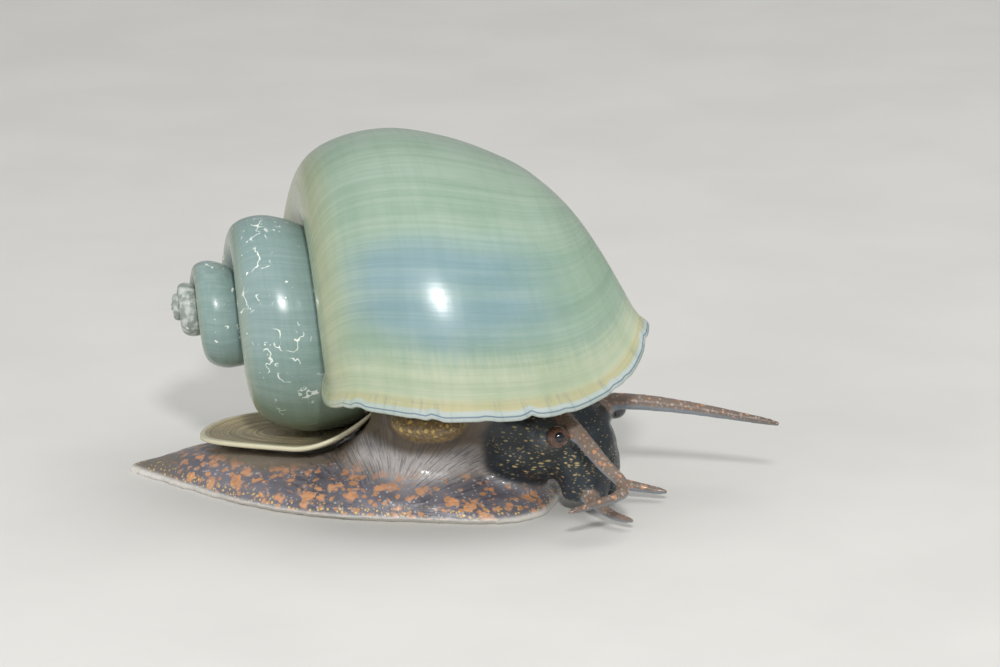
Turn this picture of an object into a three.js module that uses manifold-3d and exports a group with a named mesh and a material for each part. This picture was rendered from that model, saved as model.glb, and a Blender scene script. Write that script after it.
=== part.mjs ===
// A life-size apple snail, crawling on a flat surface.
// Millimetres. +X is the way the snail heads, +Y its left side, +Z up.
// The origin lies on the flat of the sole, under the middle of the foot.
import * as THREE from "three";
import { mergeVertices } from "three/addons/utils/BufferGeometryUtils.js";
import Module from "manifold-3d";

const wasm = await Module();
wasm.setup();

// Driving sizes
const GAP = 0.3; // between neighbouring nodes
const SOLE_RIM = 0.45; // thickness of the thin margin of the foot

// Shell: where the tip of the spire is, where the coiling axis points, and how a whorl grows
const APEX = new THREE.Vector3(-13.8, -2.6, 15.65);
const SHELL_YAW = 17.0; // degrees, axis turned to the snail's left, so the spire trails to the right
const SHELL_PITCH = -0.95;
const LIP_TURN = 102.6; // degrees round the axis from straight up, towards the right side
const WHORL_RADIUS = 12.6; // axis to the middle of the whorl, at the lip
const WHORL_HEIGHT = 26.1; // tip of the spire to the middle of the whorl, at the lip
const GROWTH = { tube: 2.727, radius: 1.75, height: 2.41 }; // per turn
const EARLY_GROWTH = { tube: 2.0, radius: 2.0 }; // per turn, in the first, small whorls
const LATE_TURNS = { tube: 1.6, radius: 1.3 }; // turns from the lip that have the later growth
const SHELL_TURNS = 3.4;
const SHELL_WALL = 0.9;
const LIP_EDGE = 0.3;
const MOUTH_DEPTH = 150; // degrees of the last whorl that are hollow
const LIP_FLARE = 0.45; // how far the lip turns outwards, over its last few degrees
const FLARE_FROM = -9;
const SECTION_SIDES = 20;

// Outline of a whorl round its middle: out from the axis, and along it towards the base
const WHORL_OUTLINE = [
  [0, -13.0], [2.9, -11.6], [5.1, -8.2], [6.3, -2.7], [5.6, 3.2], [3.9, 8.4], [1.8, 12.4],
  [-1.6, 15.3], [-6.0, 14.2], [-10.0, 9.4], [-11.7, 2.0], [-10.8, -5.0], [-7.2, -10.2], [-3.4, -12.9],
];

// Foot: stations from the tip of the tail to the front edge, as [x, half width, height, y]
const FOOT = [
  [-18.3, 0.35, 0.55, 0], [-17.2, 1.1, 0.95, 0], [-15.4, 2.2, 1.5, 0], [-12.9, 3.8, 2.5, 0],
  [-10.3, 5.3, 3.0, 0], [-7.5, 7.0, 3.0, 0], [-4.0, 8.5, 3.1, 0], [0, 9.5, 3.4, 0],
  [4.5, 9.6, 4.2, 0], [9.0, 8.9, 4.3, 0], [13.0, 8.3, 3.1, 0], [16.2, 7.4, 2.0, 0],
  [18.2, 5.6, 1.35, 0], [19.2, 3.4, 0.8, 0],
];
const FOOT_CUTS = [-10.0, 7.6]; // where the tail, the middle and the front are parted

// Neck: the stalk from the foot into the mouth of the shell, as [x, y, z, half length, half width]
const NECK = [
  [6.8, 0.0, 1.9, 7.4, 6.0], [7.2, 0.0, 3.4, 7.8, 6.3], [8.0, -0.3, 5.2, 7.7, 5.8],
  [9.2, -0.6, 7.0, 7.3, 5.1], [10.4, -1.3, 9.0, 6.8, 4.8], [11.2, -2.4, 11.6, 6.4, 4.7],
  [11.6, -3.4, 14.2, 5.6, 4.3], [11.8, -4.2, 16.6, 4.2, 3.2],
];

// Head and snout: a bent trunk, as [x, y, z, half width, half depth]
const HEAD = [
  [13.4, -0.5, 6.9, 3.7, 2.4], [15.6, -0.5, 7.2, 4.0, 2.8], [18.4, -0.5, 7.2, 4.2, 3.0],
  [20.5, -0.5, 6.4, 4.1, 3.1], [21.8, -0.6, 5.0, 3.7, 2.9], [22.3, -0.7, 3.5, 3.2, 2.4],
  [22.3, -0.8, 2.2, 3.0, 2.2], [22.2, -0.8, 1.0, 2.5, 1.8],
];
const CHEEKS = [[17.4, -0.5, 5.3], [4.2, 4.0, 3.3]];
const HEAD_RINGS = 36;
const SNOUT_FROM = 20; // ring of the head at which the snout starts
const HEAD_TURN = 0.28;
const HEAD_Y = -0.5;
const MOUTH = { x: 23.1, y: -0.8, z: 1.7, apart: 0.95 };
const LIP_SIZES = [1.35, 1.05, 1.15];
const SLIT_SIZES = [1.1, 0.2, 1.3];

// Feelers: points along the middle line, then the radius at root and tip
const RIGHT_TENTACLE = [
  [19.9, -2.6, 7.9], [21.0, -3.9, 8.4], [22.8, -5.0, 7.2], [25.0, -6.3, 5.5], [26.9, -7.4, 4.2],
  [26.8, -8.7, 3.8], [25.3, -10.0, 3.4], [23.2, -11.6, 2.9],
];
const LEFT_TENTACLE = [
  [21.4, 1.8, 7.6], [22.8, 2.9, 8.3], [25.6, 3.9, 8.2], [29.4, 5.0, 7.7], [33.4, 6.0, 7.0],
  [36.9, 6.6, 6.4],
];
const RIGHT_PALP = [[22.4, -2.6, 1.7], [23.8, -4.0, 1.4], [25.6, -5.4, 1.0], [27.4, -6.2, 0.9]];
const LEFT_PALP = [[22.6, 1.0, 1.7], [24.2, 2.0, 1.5], [26.2, 2.6, 1.1], [28.2, 2.6, 0.9]];
const TENTACLE_RADII = [0.78, 0.28];
const PALP_RADII = [0.6, 0.28];
const TAPER = 1.5; // above 1, a feeler stays thick and tapers late
const TENTACLE_LENGTHS = 3;

// Eyes on short stalks, at the outer side of each tentacle's root
const RIGHT_STALK = [[18.4, -2.6, 6.7], [19.6, -4.2, 7.2], [20.8, -5.7, 7.5]];
const LEFT_STALK = [[20.2, 1.8, 6.7], [21.8, 3.2, 7.1], [23.2, 4.5, 7.4]];
const STALK_RADII = [1.3, 1.05];
const EYE_RADIUS = 0.95;

// Operculum: the horny lid, carried on the back of the foot
const LID = { x: -3.3, y: -0.4, z: 4.05, halfLength: 8.6, halfWidth: 5.9, thickness: 0.5 };
const LID_DISH = 0.85; // how far the long rims rise above the middle
const LID_RISE_FROM = -2.2; // where the front of the lid starts to bend up against the neck
const LID_RISE = 0.085;
const LID_NUCLEUS = [-0.18, 0.12]; // the rings' middle, as shares of the half length and half width
const LID_RINGS = 7;
const LID_SIDES = 28;
const LID_RIDGE = 0.06;

// Lobes of flesh: an egg shape each, as [middle, half sizes]
const LID_LOBE = [[-3.3, -0.4, 2.9], [7.4, 4.9, 1.5]];
const RIGHT_NUCHAL_LOBE = [[9.7, -6.3, 7.9], [3.3, 2.1, 1.2]];
const LEFT_SIPHON = [[15.6, 3.4, 8.4], [17.2, 4.6, 7.9], [19.0, 5.6, 7.0]];
const SIPHON_RADII = [1.5, 1.15];
const SIPHON_BORE = 0.6; // share of the siphon's radius

const radians = THREE.MathUtils.degToRad;
const vector = (p) => new THREE.Vector3(...p);

// A closed solid for cutting and joining, from a geometry whose faces all point one way.
function solidOf(geometry) {
  const bare = new THREE.BufferGeometry();
  bare.setAttribute("position", geometry.getAttribute("position"));
  if (geometry.index) bare.setIndex(geometry.index);
  const merged = mergeVertices(bare, 1e-3);
  const build = (triVerts) => new wasm.Manifold(new wasm.Mesh({
    numProp: 3,
    vertProperties: new Float32Array(merged.attributes.position.array),
    triVerts,
  }));
  const triVerts = new Uint32Array(merged.index.array);
  const made = build(triVerts);
  if (made.volume() > 0) return made;
  for (let i = 0; i < triVerts.length; i += 3)
    [triVerts[i + 1], triVerts[i + 2]] = [triVerts[i + 2], triVerts[i + 1]];
  return build(triVerts);
}

// The largest closed surface of a solid: loose scraps go, and sealed hollows are filled.
function largest(solid) {
  return solid.decompose().sort((a, b) => b.volume() - a.volume())[0];
}

// A joined or cut solid back as a geometry.
function geometryOf(solid) {
  const mesh = solid.getMesh();
  const position = new Float32Array(mesh.numVert * 3);
  for (let i = 0; i < mesh.numVert; i += 1)
    for (let k = 0; k < 3; k += 1)
      position[3 * i + k] = mesh.vertProperties[mesh.numProp * i + k];
  const geometry = new THREE.BufferGeometry();
  geometry.setAttribute("position", new THREE.BufferAttribute(position, 3));
  geometry.setIndex(new THREE.BufferAttribute(new Uint32Array(mesh.triVerts), 1));
  geometry.computeVertexNormals();
  return geometry;
}

// A skin over rings of equally many points, closed by a fan at each end.
function loft(rings) {
  const sides = rings[0].length;
  const points = rings.flat();
  const faces = [];
  for (let i = 0; i + 1 < rings.length; i += 1)
    for (let j = 0; j < sides; j += 1) {
      const a = i * sides + j;
      const b = i * sides + ((j + 1) % sides);
      faces.push(a, b, b + sides, a, b + sides, a + sides);
    }
  for (const [ring, first, turn] of [[rings[0], 0, 1], [rings.at(-1), (rings.length - 1) * sides, 0]]) {
    const middle = points.length;
    points.push(ring.reduce((sum, p) => sum.add(p), new THREE.Vector3()).divideScalar(sides));
    for (let j = 0; j < sides; j += 1) {
      const ends = [first + ((j + turn) % sides), first + ((j + 1 - turn) % sides)];
      faces.push(middle, ...ends);
    }
  }
  const geometry = new THREE.BufferGeometry().setFromPoints(points);
  geometry.setIndex(faces);
  return geometry;
}

// Values between stations, on one smooth curve through them.
function smoothStations(stations, count) {
  const size = stations[0].length;
  const knots = stations.map((_, i) => i);
  const fit = new THREE.CubicInterpolant(knots, stations.flat(), size);
  return Array.from({ length: count }, (_, i) =>
    [...fit.evaluate((i / (count - 1)) * (stations.length - 1))]);
}

// Shell
const shellPose = new THREE.Matrix4();
{
  const yaw = radians(SHELL_YAW);
  const pitch = radians(SHELL_PITCH);
  const axis = new THREE.Vector3(
    Math.cos(yaw) * Math.cos(pitch), Math.sin(yaw) * Math.cos(pitch), Math.sin(pitch));
  const up = new THREE.Vector3(0, 0, 1).addScaledVector(axis, -axis.z).normalize();
  shellPose.makeBasis(up, new THREE.Vector3().crossVectors(axis, up), axis).setPosition(APEX);
}

const outlineCurve = new THREE.CatmullRomCurve3(
  WHORL_OUTLINE.map(([out, along]) => new THREE.Vector3(out, along, 0)), true, "centripetal");
const whorlOutline = outlineCurve.getSpacedPoints(SECTION_SIDES).slice(0, SECTION_SIDES);
const outlineTop = Math.min(...whorlOutline.map((p) => p.y));
const outlineBase = Math.max(...whorlOutline.map((p) => p.y));

// How far a point of the lip runs ahead of the whorl's flat end, in degrees.
function lipLead(along) {
  const share = (along - outlineTop) / (outlineBase - outlineTop);
  return 0.8 + 2.2 * share + 8 * (1 - share) ** 7 - 23 * share ** 9;
}

// The size at a turn, as a share of that at the lip: the first whorls grow at a rate of their own.
function grown(part, turns) {
  const late = Math.max(turns, -LATE_TURNS[part]);
  return GROWTH[part] ** late * EARLY_GROWTH[part] ** (turns - late);
}

const leadShare = (turnDegrees) => THREE.MathUtils.smoothstep(turnDegrees, -90, 0);

// One ring of a whorl. Inset moves it towards the whorl's middle, and lead bends it to the lip's line.
function whorlRing(turnDegrees, inset = 0, lead = 0) {
  return whorlOutline.map((p) => {
    const angle = turnDegrees + lead * lipLead(p.y);
    const turns = angle / 360;
    const flare = LIP_FLARE * THREE.MathUtils.smoothstep(turnDegrees, FLARE_FROM, 0) ** 2;
    const keep = grown("tube", turns) - (inset - flare) / Math.hypot(p.x, p.y);
    const radius = grown("radius", turns) * WHORL_RADIUS + keep * p.x;
    const along = GROWTH.height ** turns * WHORL_HEIGHT + keep * p.y;
    const round = radians(LIP_TURN + angle);
    return new THREE.Vector3(radius * Math.cos(round), radius * Math.sin(round), along);
  });
}

const CHUNK = 240; // degrees of whorl in one sweep, short enough not to run into itself
const STEP = 15.625;

// The last whorl, open at the mouth. Grow thickens it all over, to cut clearance for the body.
function lastWhorl(grow) {
  const rings = [];
  const outside = [];
  for (let at = -CHUNK; at < 0; at += STEP) outside.push(at);
  outside.push(FLARE_FROM / 2, grow * 3);
  for (const at of outside) rings.push(whorlRing(at, -grow, leadShare(at)));
  for (const at of outside.filter((turn) => turn >= -MOUTH_DEPTH).reverse()) {
    const wall = THREE.MathUtils.lerp(LIP_EDGE, SHELL_WALL, THREE.MathUtils.smoothstep(-at, 0, 40));
    rings.push(whorlRing(at, wall + grow, leadShare(at)));
  }
  return solidOf(loft(rings));
}

// The closed whorls of the spire, each sweep a hair inside the next younger one.
function spireSweeps(grow) {
  const sweeps = [];
  for (let end = -CHUNK, size = 1; end > -SHELL_TURNS * 360; end -= CHUNK, size += 1) {
    const rings = [];
    const step = CHUNK / 14;
    for (let at = Math.max(end - CHUNK, -SHELL_TURNS * 360); at <= end + step; at += step)
      rings.push(whorlRing(at, 0.02 * size - grow));
    sweeps.push(solidOf(loft(rings)));
  }
  return sweeps;
}

// The pillar in the middle of the coil, and the blunt first whorl.
function pillar(grow) {
  const profile = [
    [0, 0.1], [0.65, 0.3], [1.1, 0.9], [1.2, 1.8], [1.7, 4], [2.8, 7], [3.4, 11], [0, 15]];
  const points = profile.map(([radius, along]) => new THREE.Vector2(radius + (radius ? grow : 0), along));
  return solidOf(new THREE.LatheGeometry(points, 14).rotateX(Math.PI / 2));
}

function shellSolid(grow = 0) {
  const pieces = [lastWhorl(grow), ...spireSweeps(grow), pillar(grow)];
  const local = pieces.reduce((sum, piece) => sum.add(piece));
  const placed = geometryOf(largest(local)).applyMatrix4(shellPose);
  return largest(solidOf(placed)); // placing rounds the corners, which can pinch off a scrap
}

// Body
const FOOT_SIDES = 11; // points over the back of one section

// A section of the foot: flat below, a thin margin at each side, and a back that swells between them.
function footRing([x, halfWidth, height, y], grow) {
  const half = halfWidth + grow;
  const sole = [-0.92, -0.5, 0, 0.5, 0.92].map((share) => new THREE.Vector3(x, y + half * share, -grow));
  const back = Array.from({ length: FOOT_SIDES }, (_, i) => {
    const turn = (Math.PI * i) / (FOOT_SIDES - 1);
    const rim = Math.min(SOLE_RIM, height * 0.6);
    const rise = rim + (height - rim) * Math.sin(turn) ** 0.95;
    return new THREE.Vector3(x, y + half * Math.cos(turn), rise + grow);
  });
  return [...sole, ...back];
}

function footSolid(grow = 0) {
  const stations = smoothStations(FOOT, 27);
  return solidOf(loft(stations.map((station) => footRing(station, grow))));
}

function neckSolid(grow = 0) {
  const rings = smoothStations(NECK, 14).map(([x, y, z, halfLength, halfWidth]) =>
    Array.from({ length: 20 }, (_, i) => {
      const turn = (2 * Math.PI * i) / 20;
      const dx = (halfLength + grow) * Math.cos(turn);
      const dy = (halfWidth + grow) * Math.sin(turn);
      return new THREE.Vector3(x + dx, y + dy, z + 0.12 * dx);
    }));
  return solidOf(loft(rings));
}

// Rings square to a path in space. Sections come from a function of the share along and the turn.
function tubeRings(points, count, sides, section) {
  const curve = new THREE.CatmullRomCurve3(points.map(vector), false, "centripetal");
  const rings = [];
  for (let i = 0; i < count; i += 1) {
    const share = i / (count - 1);
    const at = curve.getPointAt(share);
    const along = curve.getTangentAt(share);
    const across = new THREE.Vector3(0, 1, 0).addScaledVector(along, -along.y).normalize();
    const over = new THREE.Vector3().crossVectors(along, across);
    rings.push(Array.from({ length: sides }, (_, j) => {
      const [side, depth] = section(share, (2 * Math.PI * j) / sides);
      return at.clone().addScaledVector(across, side).addScaledVector(over, depth);
    }));
  }
  return rings;
}

// The head is turned a little to the right: its left side lies further forward.
const turnHead = (x, y, z) => new THREE.Vector3(x + HEAD_TURN * (y - HEAD_Y), y, z);

// The trunk of the head, whole or between two rings.
function headSolid({ grow = 0, from = 0, to = HEAD_RINGS } = {}) {
  const sizes = new THREE.CubicInterpolant(
    HEAD.map((_, i) => i / (HEAD.length - 1)), HEAD.flatMap((station) => station.slice(3)), 2);
  const path = HEAD.map((station) => station.slice(0, 3));
  const rings = tubeRings(path, HEAD_RINGS + 1, 18, (share, turn) => {
    const [halfWidth, halfDepth] = sizes.evaluate(share);
    return [(halfWidth + grow) * Math.cos(turn), (halfDepth + grow) * Math.sin(turn)];
  });
  return solidOf(loft(rings.slice(from, to + 1).map((ring) => ring.map((p) => turnHead(p.x, p.y, p.z)))));
}

// The head with its cheeks, down to where the snout is parted from it
function headWithCheeks(grow = 0) {
  const cheeks = geometryOf(egg(CHEEKS, grow));
  const corners = cheeks.attributes.position;
  for (let i = 0; i < corners.count; i += 1)
    corners.setXYZ(i, ...turnHead(corners.getX(i), corners.getY(i), corners.getZ(i)).toArray());
  const snoutRoom = headSolid({ grow: GAP - grow, from: SNOUT_FROM });
  return headSolid({ grow, to: SNOUT_FROM }).add(solidOf(cheeks).subtract(snoutRoom));
}

// A tapering feeler, whole or one length of it.
function feeler(points, [root, tip], { from = 0, to = 1, count = 13, sides = 9, grow = 0 } = {}) {
  const rings = tubeRings(points, count * 3 + 1, sides, (share, turn) => {
    const radius = grow + THREE.MathUtils.lerp(root, tip, share ** TAPER);
    const blunt = share > 0.985 ? 0.55 : 1;
    return [radius * blunt * Math.cos(turn), radius * blunt * Math.sin(turn)];
  });
  const last = rings.length - 1;
  return solidOf(loft(rings.slice(Math.round(from * last), Math.round(to * last) + 1)
    .filter((_, i, kept) => i % 2 === 0 || i === kept.length - 1)));
}

function egg([middle, sizes], grow = 0) {
  const ball = new THREE.SphereGeometry(1, 16, 10);
  ball.scale(...sizes.map((size) => size + grow)).translate(...middle);
  return solidOf(ball);
}

function eyeSolid(stalk, grow = 0) {
  const ball = new THREE.SphereGeometry(EYE_RADIUS + grow, 16, 10);
  return solidOf(ball.translate(...stalk.at(-1)));
}

// The lid's height at a place in its own length and width.
function lidHeight(x, y) {
  const across = (y - LID.y) / LID.halfWidth;
  const rise = Math.max(0, x - LID_RISE_FROM) ** 2 * LID_RISE;
  return LID.z + LID_DISH * across * across + rise;
}

function lidSolid(grow = 0) {
  const face = (side) => Array.from({ length: LID_RINGS }, (_, i) => {
    const share = (i + 1) / LID_RINGS;
    const ridge = i % 2 ? LID_RIDGE : -LID_RIDGE;
    return Array.from({ length: LID_SIDES }, (_, j) => {
      const turn = (2 * Math.PI * j) / LID_SIDES;
      const pull = 1 - share;
      const reach = share + grow / LID.halfWidth;
      const x = LID.x + LID.halfLength * (reach * Math.cos(turn) + pull * LID_NUCLEUS[0]);
      const y = LID.y + LID.halfWidth * (reach * Math.sin(turn) + pull * LID_NUCLEUS[1]);
      const thin = share === 1 ? 0.7 : 1;
      const half = (LID.thickness / 2) * thin + grow + (grow ? LID_RIDGE : ridge);
      return new THREE.Vector3(x, y, lidHeight(x, y) + side * half);
    });
  });
  return solidOf(loft([...face(1), ...face(-1).reverse()]));
}

// Solids with clearance round them, to part their neighbours
const clear = {
  shell: shellSolid(GAP),
  neck: neckSolid(GAP),
  lidLobe: egg(LID_LOBE, GAP),
  head: headWithCheeks(GAP).add(headSolid({ grow: GAP })),
  lid: lidSolid(GAP),
};

// A slab between two planes square to X.
const FAR = 60;
function between(from, to) {
  return solidOf(new THREE.BoxGeometry(to - from, FAR, FAR).translate((from + to) / 2, 0, 0));
}

const snail = new THREE.Group();

function add(name, solid, colour, roughness, metalness = 0) {
  const material = new THREE.MeshStandardMaterial({ color: colour, roughness, metalness });
  const mesh = new THREE.Mesh(geometryOf(largest(solid)), material);
  mesh.name = name;
  snail.add(mesh);
}

const SHELL_GREEN = 0x9cb8a6;
const FOOT_GREY = 0x75706f;
const NECK_GREY = 0x6f655c;
const HEAD_DARK = 0x35373a;
const FEELER_GREY = 0x7d7268;
const MANTLE_TAN = 0x8a7a5c;
const LID_HORN = 0xa39a78;
const EYE_RING = 0x8a5a44;

add("shell", shellSolid(), SHELL_GREEN, 0.25);
add("operculum", lidSolid().subtract(clear.shell), LID_HORN, 0.45);

// Foot, in three lengths
const foot = footSolid();
const footEdges = [-FAR, ...FOOT_CUTS, FAR];
["foot_tail", "foot_middle", "foot_front"].forEach((name, i) => {
  const from = footEdges[i] + (i ? GAP / 2 : 0);
  const to = footEdges[i + 1] - (i < 2 ? GAP / 2 : 0);
  const piece = foot.intersect(between(from, to)).subtract(clear.lid);
  add(name, piece.subtract(clear.lidLobe).subtract(clear.neck).subtract(clear.head), FOOT_GREY, 0.5);
});

const lidLobe = egg(LID_LOBE).subtract(clear.lid).subtract(clear.neck).subtract(clear.shell);
add("opercular_lobe", lidLobe, FOOT_GREY, 0.5);
add("neck", neckSolid().subtract(clear.lid).subtract(clear.shell), NECK_GREY, 0.5);

// Head and snout, with two lips either side of the mouth's slit
const lips = [-1, 1].map((side) =>
  egg([turnHead(MOUTH.x, MOUTH.y + side * MOUTH.apart, MOUTH.z).toArray(), LIP_SIZES]));
const slit = egg([[MOUTH.x + LIP_SIZES[0], MOUTH.y, MOUTH.z], SLIT_SIZES]);
const snout = headSolid({ from: SNOUT_FROM + 1 }).add(lips[0]).add(lips[1]).subtract(slit);
const head = headWithCheeks().subtract(clear.neck).subtract(clear.shell);
add("head", head, HEAD_DARK, 0.45);
add("snout", snout, HEAD_DARK, 0.45);

// Mantle: the rim of flesh just inside the lip, its lobe under the lip, and the siphon on the left
const MANTLE = [[-40, 0], [-32, 0], [-24, 0], [-16, 0], [-9, 0], [-5.5, 0.9], [-7, 2.2], [-14, 4.4]];
const mantleRings = MANTLE.map(([at, inset]) =>
  whorlRing(at, SHELL_WALL + GAP + inset, leadShare(at)));
const mantle = solidOf(loft(mantleRings).applyMatrix4(shellPose));
const siphonTube = feeler(LEFT_SIPHON, SIPHON_RADII, { count: 5, sides: 14 });
const siphonPath = LEFT_SIPHON.map(vector);
const siphonEnd = siphonPath.at(-1).clone().multiplyScalar(2).sub(siphonPath.at(-2)).toArray();
const siphonBore = feeler([LEFT_SIPHON[1], LEFT_SIPHON[2], siphonEnd],
  SIPHON_RADII.map((radius) => radius * SIPHON_BORE), { count: 4, sides: 12 });
const siphonClear = feeler(LEFT_SIPHON, SIPHON_RADII, { count: 5, sides: 14, grow: GAP });
const mantleCut = mantle.subtract(clear.shell).subtract(clear.neck).subtract(clear.head).subtract(clear.lid);
const lobeCut = egg(RIGHT_NUCHAL_LOBE).subtract(clear.shell).subtract(clear.neck);
add("mantle", mantleCut.subtract(egg(RIGHT_NUCHAL_LOBE, GAP)).subtract(siphonClear), MANTLE_TAN, 0.5);
add("nuchal_lobe_right", lobeCut, MANTLE_TAN, 0.5);
const siphon = siphonTube.subtract(siphonBore).subtract(clear.head).subtract(clear.neck);
add("siphon_left", siphon.subtract(clear.shell), MANTLE_TAN, 0.5);

// Eyes, their stalks, tentacles and palps, in pairs
for (const [side, stalk, tentacle, palp] of [
  ["right", RIGHT_STALK, RIGHT_TENTACLE, RIGHT_PALP],
  ["left", LEFT_STALK, LEFT_TENTACLE, LEFT_PALP],
]) {
  const tentacleClear = feeler(tentacle, TENTACLE_RADII, { grow: GAP, to: 0.5 });
  const stalkBody = feeler(stalk, STALK_RADII, { count: 5, sides: 14 });
  const stalkCut = stalkBody.subtract(clear.head).subtract(eyeSolid(stalk, GAP)).subtract(tentacleClear);
  add(`eye_stalk_${side}`, stalkCut.subtract(siphonClear), HEAD_DARK, 0.45);
  add(`eye_${side}`, eyeSolid(stalk), EYE_RING, 0.15);
  for (let i = 0; i < TENTACLE_LENGTHS; i += 1) {
    const from = i / TENTACLE_LENGTHS + (i ? 0.02 : 0);
    const piece = feeler(tentacle, TENTACLE_RADII, { from, to: (i + 1) / TENTACLE_LENGTHS });
    add(`tentacle_${side}_${i + 1}`, piece.subtract(clear.head), FEELER_GREY, 0.45);
  }
  const palpBody = feeler(palp, PALP_RADII, { count: 8, sides: 8 }).subtract(clear.head);
  add(`palp_${side}`, palpBody, FEELER_GREY, 0.45);
}

export default snail;
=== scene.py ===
"""A life-size apple snail: glossy coiled shell, one wet skin, horny lid and eyes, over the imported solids."""

import math

import bmesh
import bpy
import numpy as np
from bpy.props import FloatProperty, FloatVectorProperty, PointerProperty
from mathutils import Matrix, Vector, noise
from mathutils.bvhtree import BVHTree


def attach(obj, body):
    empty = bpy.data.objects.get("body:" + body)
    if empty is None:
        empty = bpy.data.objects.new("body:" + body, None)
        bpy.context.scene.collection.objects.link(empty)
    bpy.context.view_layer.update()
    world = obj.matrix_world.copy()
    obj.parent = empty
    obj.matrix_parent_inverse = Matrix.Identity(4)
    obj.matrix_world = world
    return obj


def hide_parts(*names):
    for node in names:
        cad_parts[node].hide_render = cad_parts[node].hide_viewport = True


bl_info = {
    "name": "Apple snail",
    "version": (1, 0, 0),
    "blender": (4, 5, 0),
    "location": "3D View > Sidebar > Snail",
    "description": "Makes the shell, skin, lid and eyes of a crawling apple snail over its solids",
    "category": "Object",
}

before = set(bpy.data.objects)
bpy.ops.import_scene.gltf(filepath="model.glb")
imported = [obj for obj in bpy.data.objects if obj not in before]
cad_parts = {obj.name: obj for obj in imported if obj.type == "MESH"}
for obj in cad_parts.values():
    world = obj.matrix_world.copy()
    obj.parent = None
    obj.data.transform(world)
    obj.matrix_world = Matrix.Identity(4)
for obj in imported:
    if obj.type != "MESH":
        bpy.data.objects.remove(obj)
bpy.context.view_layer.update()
MM = 0.001

# Nodes that the one skin stands for, by the region they belong to
REGIONS = {
    "foot": ["foot_tail", "foot_middle", "foot_front"],
    "lobe": ["opercular_lobe"],
    "neck": ["neck"],
    "head": ["head", "snout"],
    "stalk": ["eye_stalk_left", "eye_stalk_right"],
    "feeler": [
        "tentacle_left_1", "tentacle_left_2", "tentacle_left_3",
        "tentacle_right_1", "tentacle_right_2", "tentacle_right_3",
        "palp_left", "palp_right",
    ],
    "mantle": ["mantle", "nuchal_lobe_right", "siphon_left"],
}

# Shell, in millimetres, degrees and turns of the coil
APEX = (-13.8, -2.6, 15.65)
SHELL_YAW = 17.0
SHELL_PITCH = -0.95
WHORL_OUTLINE = [
    (0, -13.0), (2.9, -11.6), (5.1, -8.2), (6.3, -2.7), (5.6, 3.2), (3.9, 8.4), (1.8, 12.4),
    (-1.6, 15.3), (-6.0, 14.2), (-10.0, 9.4), (-11.7, 2.0), (-10.8, -5.0), (-7.2, -10.2), (-3.4, -12.9),
]
SECTION_POINTS = 160
SHELL_TURNS = 4.7
FACET_INSET = 0.12  # the solid's flat facets lie a little inside the true curve
PILLAR = [  # radius and height, from the spire's tip along the coil's axis
    (0, 0.1), (0.65, 0.3), (1.1, 0.9), (1.2, 1.8), (1.7, 4), (2.8, 7), (3.4, 11), (0, 15),
]
PILLAR_SIDES = 32

# Lip, in degrees round the coil; a section's share runs from the seam, 0, to the navel, 1
RING_STEP = 4.0
MOUTH_DEPTH = 200  # how far the inner wall goes in
LIP_ROUNDING = 1.2
WALL_REACH = 40  # from the lip's edge to the wall's full thickness
LEAD = 0.8  # how far the lip stands ahead of its plane
LEAD_SLOPE = 2.2
LEAD_AT_SEAM = 11
SEAM_POWER = 20
DRAWN_AT_NAVEL = 23
NAVEL_POWER = 9
LEAD_REACH = 90  # how far behind the lip its lead is felt
WAVES_REACH = 4
FLARE = 0.45  # millimetres
FLARE_REACH = 9
CHIP_WIDTH = 0.006  # share of the way round the section
PILLAR_AGE = 600  # so far behind the lip, for the colour
LIP_CHIPS = [  # share of the way round the section, and depth in degrees
    (0.05, 0.5), (0.072, 1.0), (0.14, 0.35), (0.158, 0.9), (0.215, 0.4), (0.262, 1.1), (0.3, 0.4),
    (0.365, 0.8), (0.38, 0.6), (0.43, 1.2), (0.475, 0.7), (0.62, 0.6), (0.74, 0.5),
]

# Foot, as (x, half width) from the tail to the front
FOOT_PLAN = [
    (-18.3, 0.35), (-17.2, 1.1), (-15.4, 2.2), (-12.9, 3.8), (-10.3, 5.3), (-7.5, 7.0), (-4.0, 8.5),
    (0, 9.5), (4.5, 9.6), (9.0, 8.9), (13.0, 8.3), (16.2, 7.4), (18.2, 5.6), (19.2, 3.4),
]
PALE_TOP = [  # x and z of the pale skin's upper edge
    (-2, 4.8), (1, 6.0), (4.5, 6.0), (8, 5.1), (10.5, 5.2), (13, 5.9), (16, 5.2), (19, 3.8),
]
FAN_MIDDLE = (7.0, 1.2)  # x and z that the fine folds of the neck and foot spread from

# Flesh, in millimetres
SKIN_MARKS = (
    "neck", "head", "stalk", "feeler", "mantle", "lobe", "margin", "band", "flank", "pale",
    "fan", "fan_far", "reach", "upward", "nuchal", "cheek",
)
MOUTH = (23.1, -0.8, 1.7)
MOUTH_SLIT = (0.17, 1.15, 0.42)  # width, height and depth
SIPHON = [(17.2, 4.6, 7.9), (19.0, 5.6, 7.0)]
NUCHAL_LOBE = [(9.7, -7.4, 8.0), (8.2, -7.3, 8.1), (11.2, -7.3, 8.1)]
CHEEKS = [(18.5, -4.4, 5.2), (20.5, -4.6, 4.6), (17.5, 3.6, 5.2), (20.5, 3.6, 4.6)]
MARGIN_HEIGHT = 0.75
FRILL = 0.2  # how far the margin stands out
SOLE_HEIGHT = 0.12
SAME_POINT = 0.002
SHARPEST_CORNER = 1.6  # the most that a corner moves out, for faces that move out by one
LUMPS = (1.1, 0.07)  # size and height
WRINKLES = (0.55, 0.035)
SOCKET_PRESS = 0.05  # how far the stalk's rim is drawn inside the eyeball's surface
SOCKET_REACH = (0.75, 0.35)

# Rounds of smoothing
REGION_ROUNDS = 4
FLESH_ROUNDS = 46
JOINT_ROUNDS = 130
BLUR_ROUNDS = 8
SKIN_BLUR = {"head": 84, "neck": 52, "foot": 20}  # these soften where one colour meets the next

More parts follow.
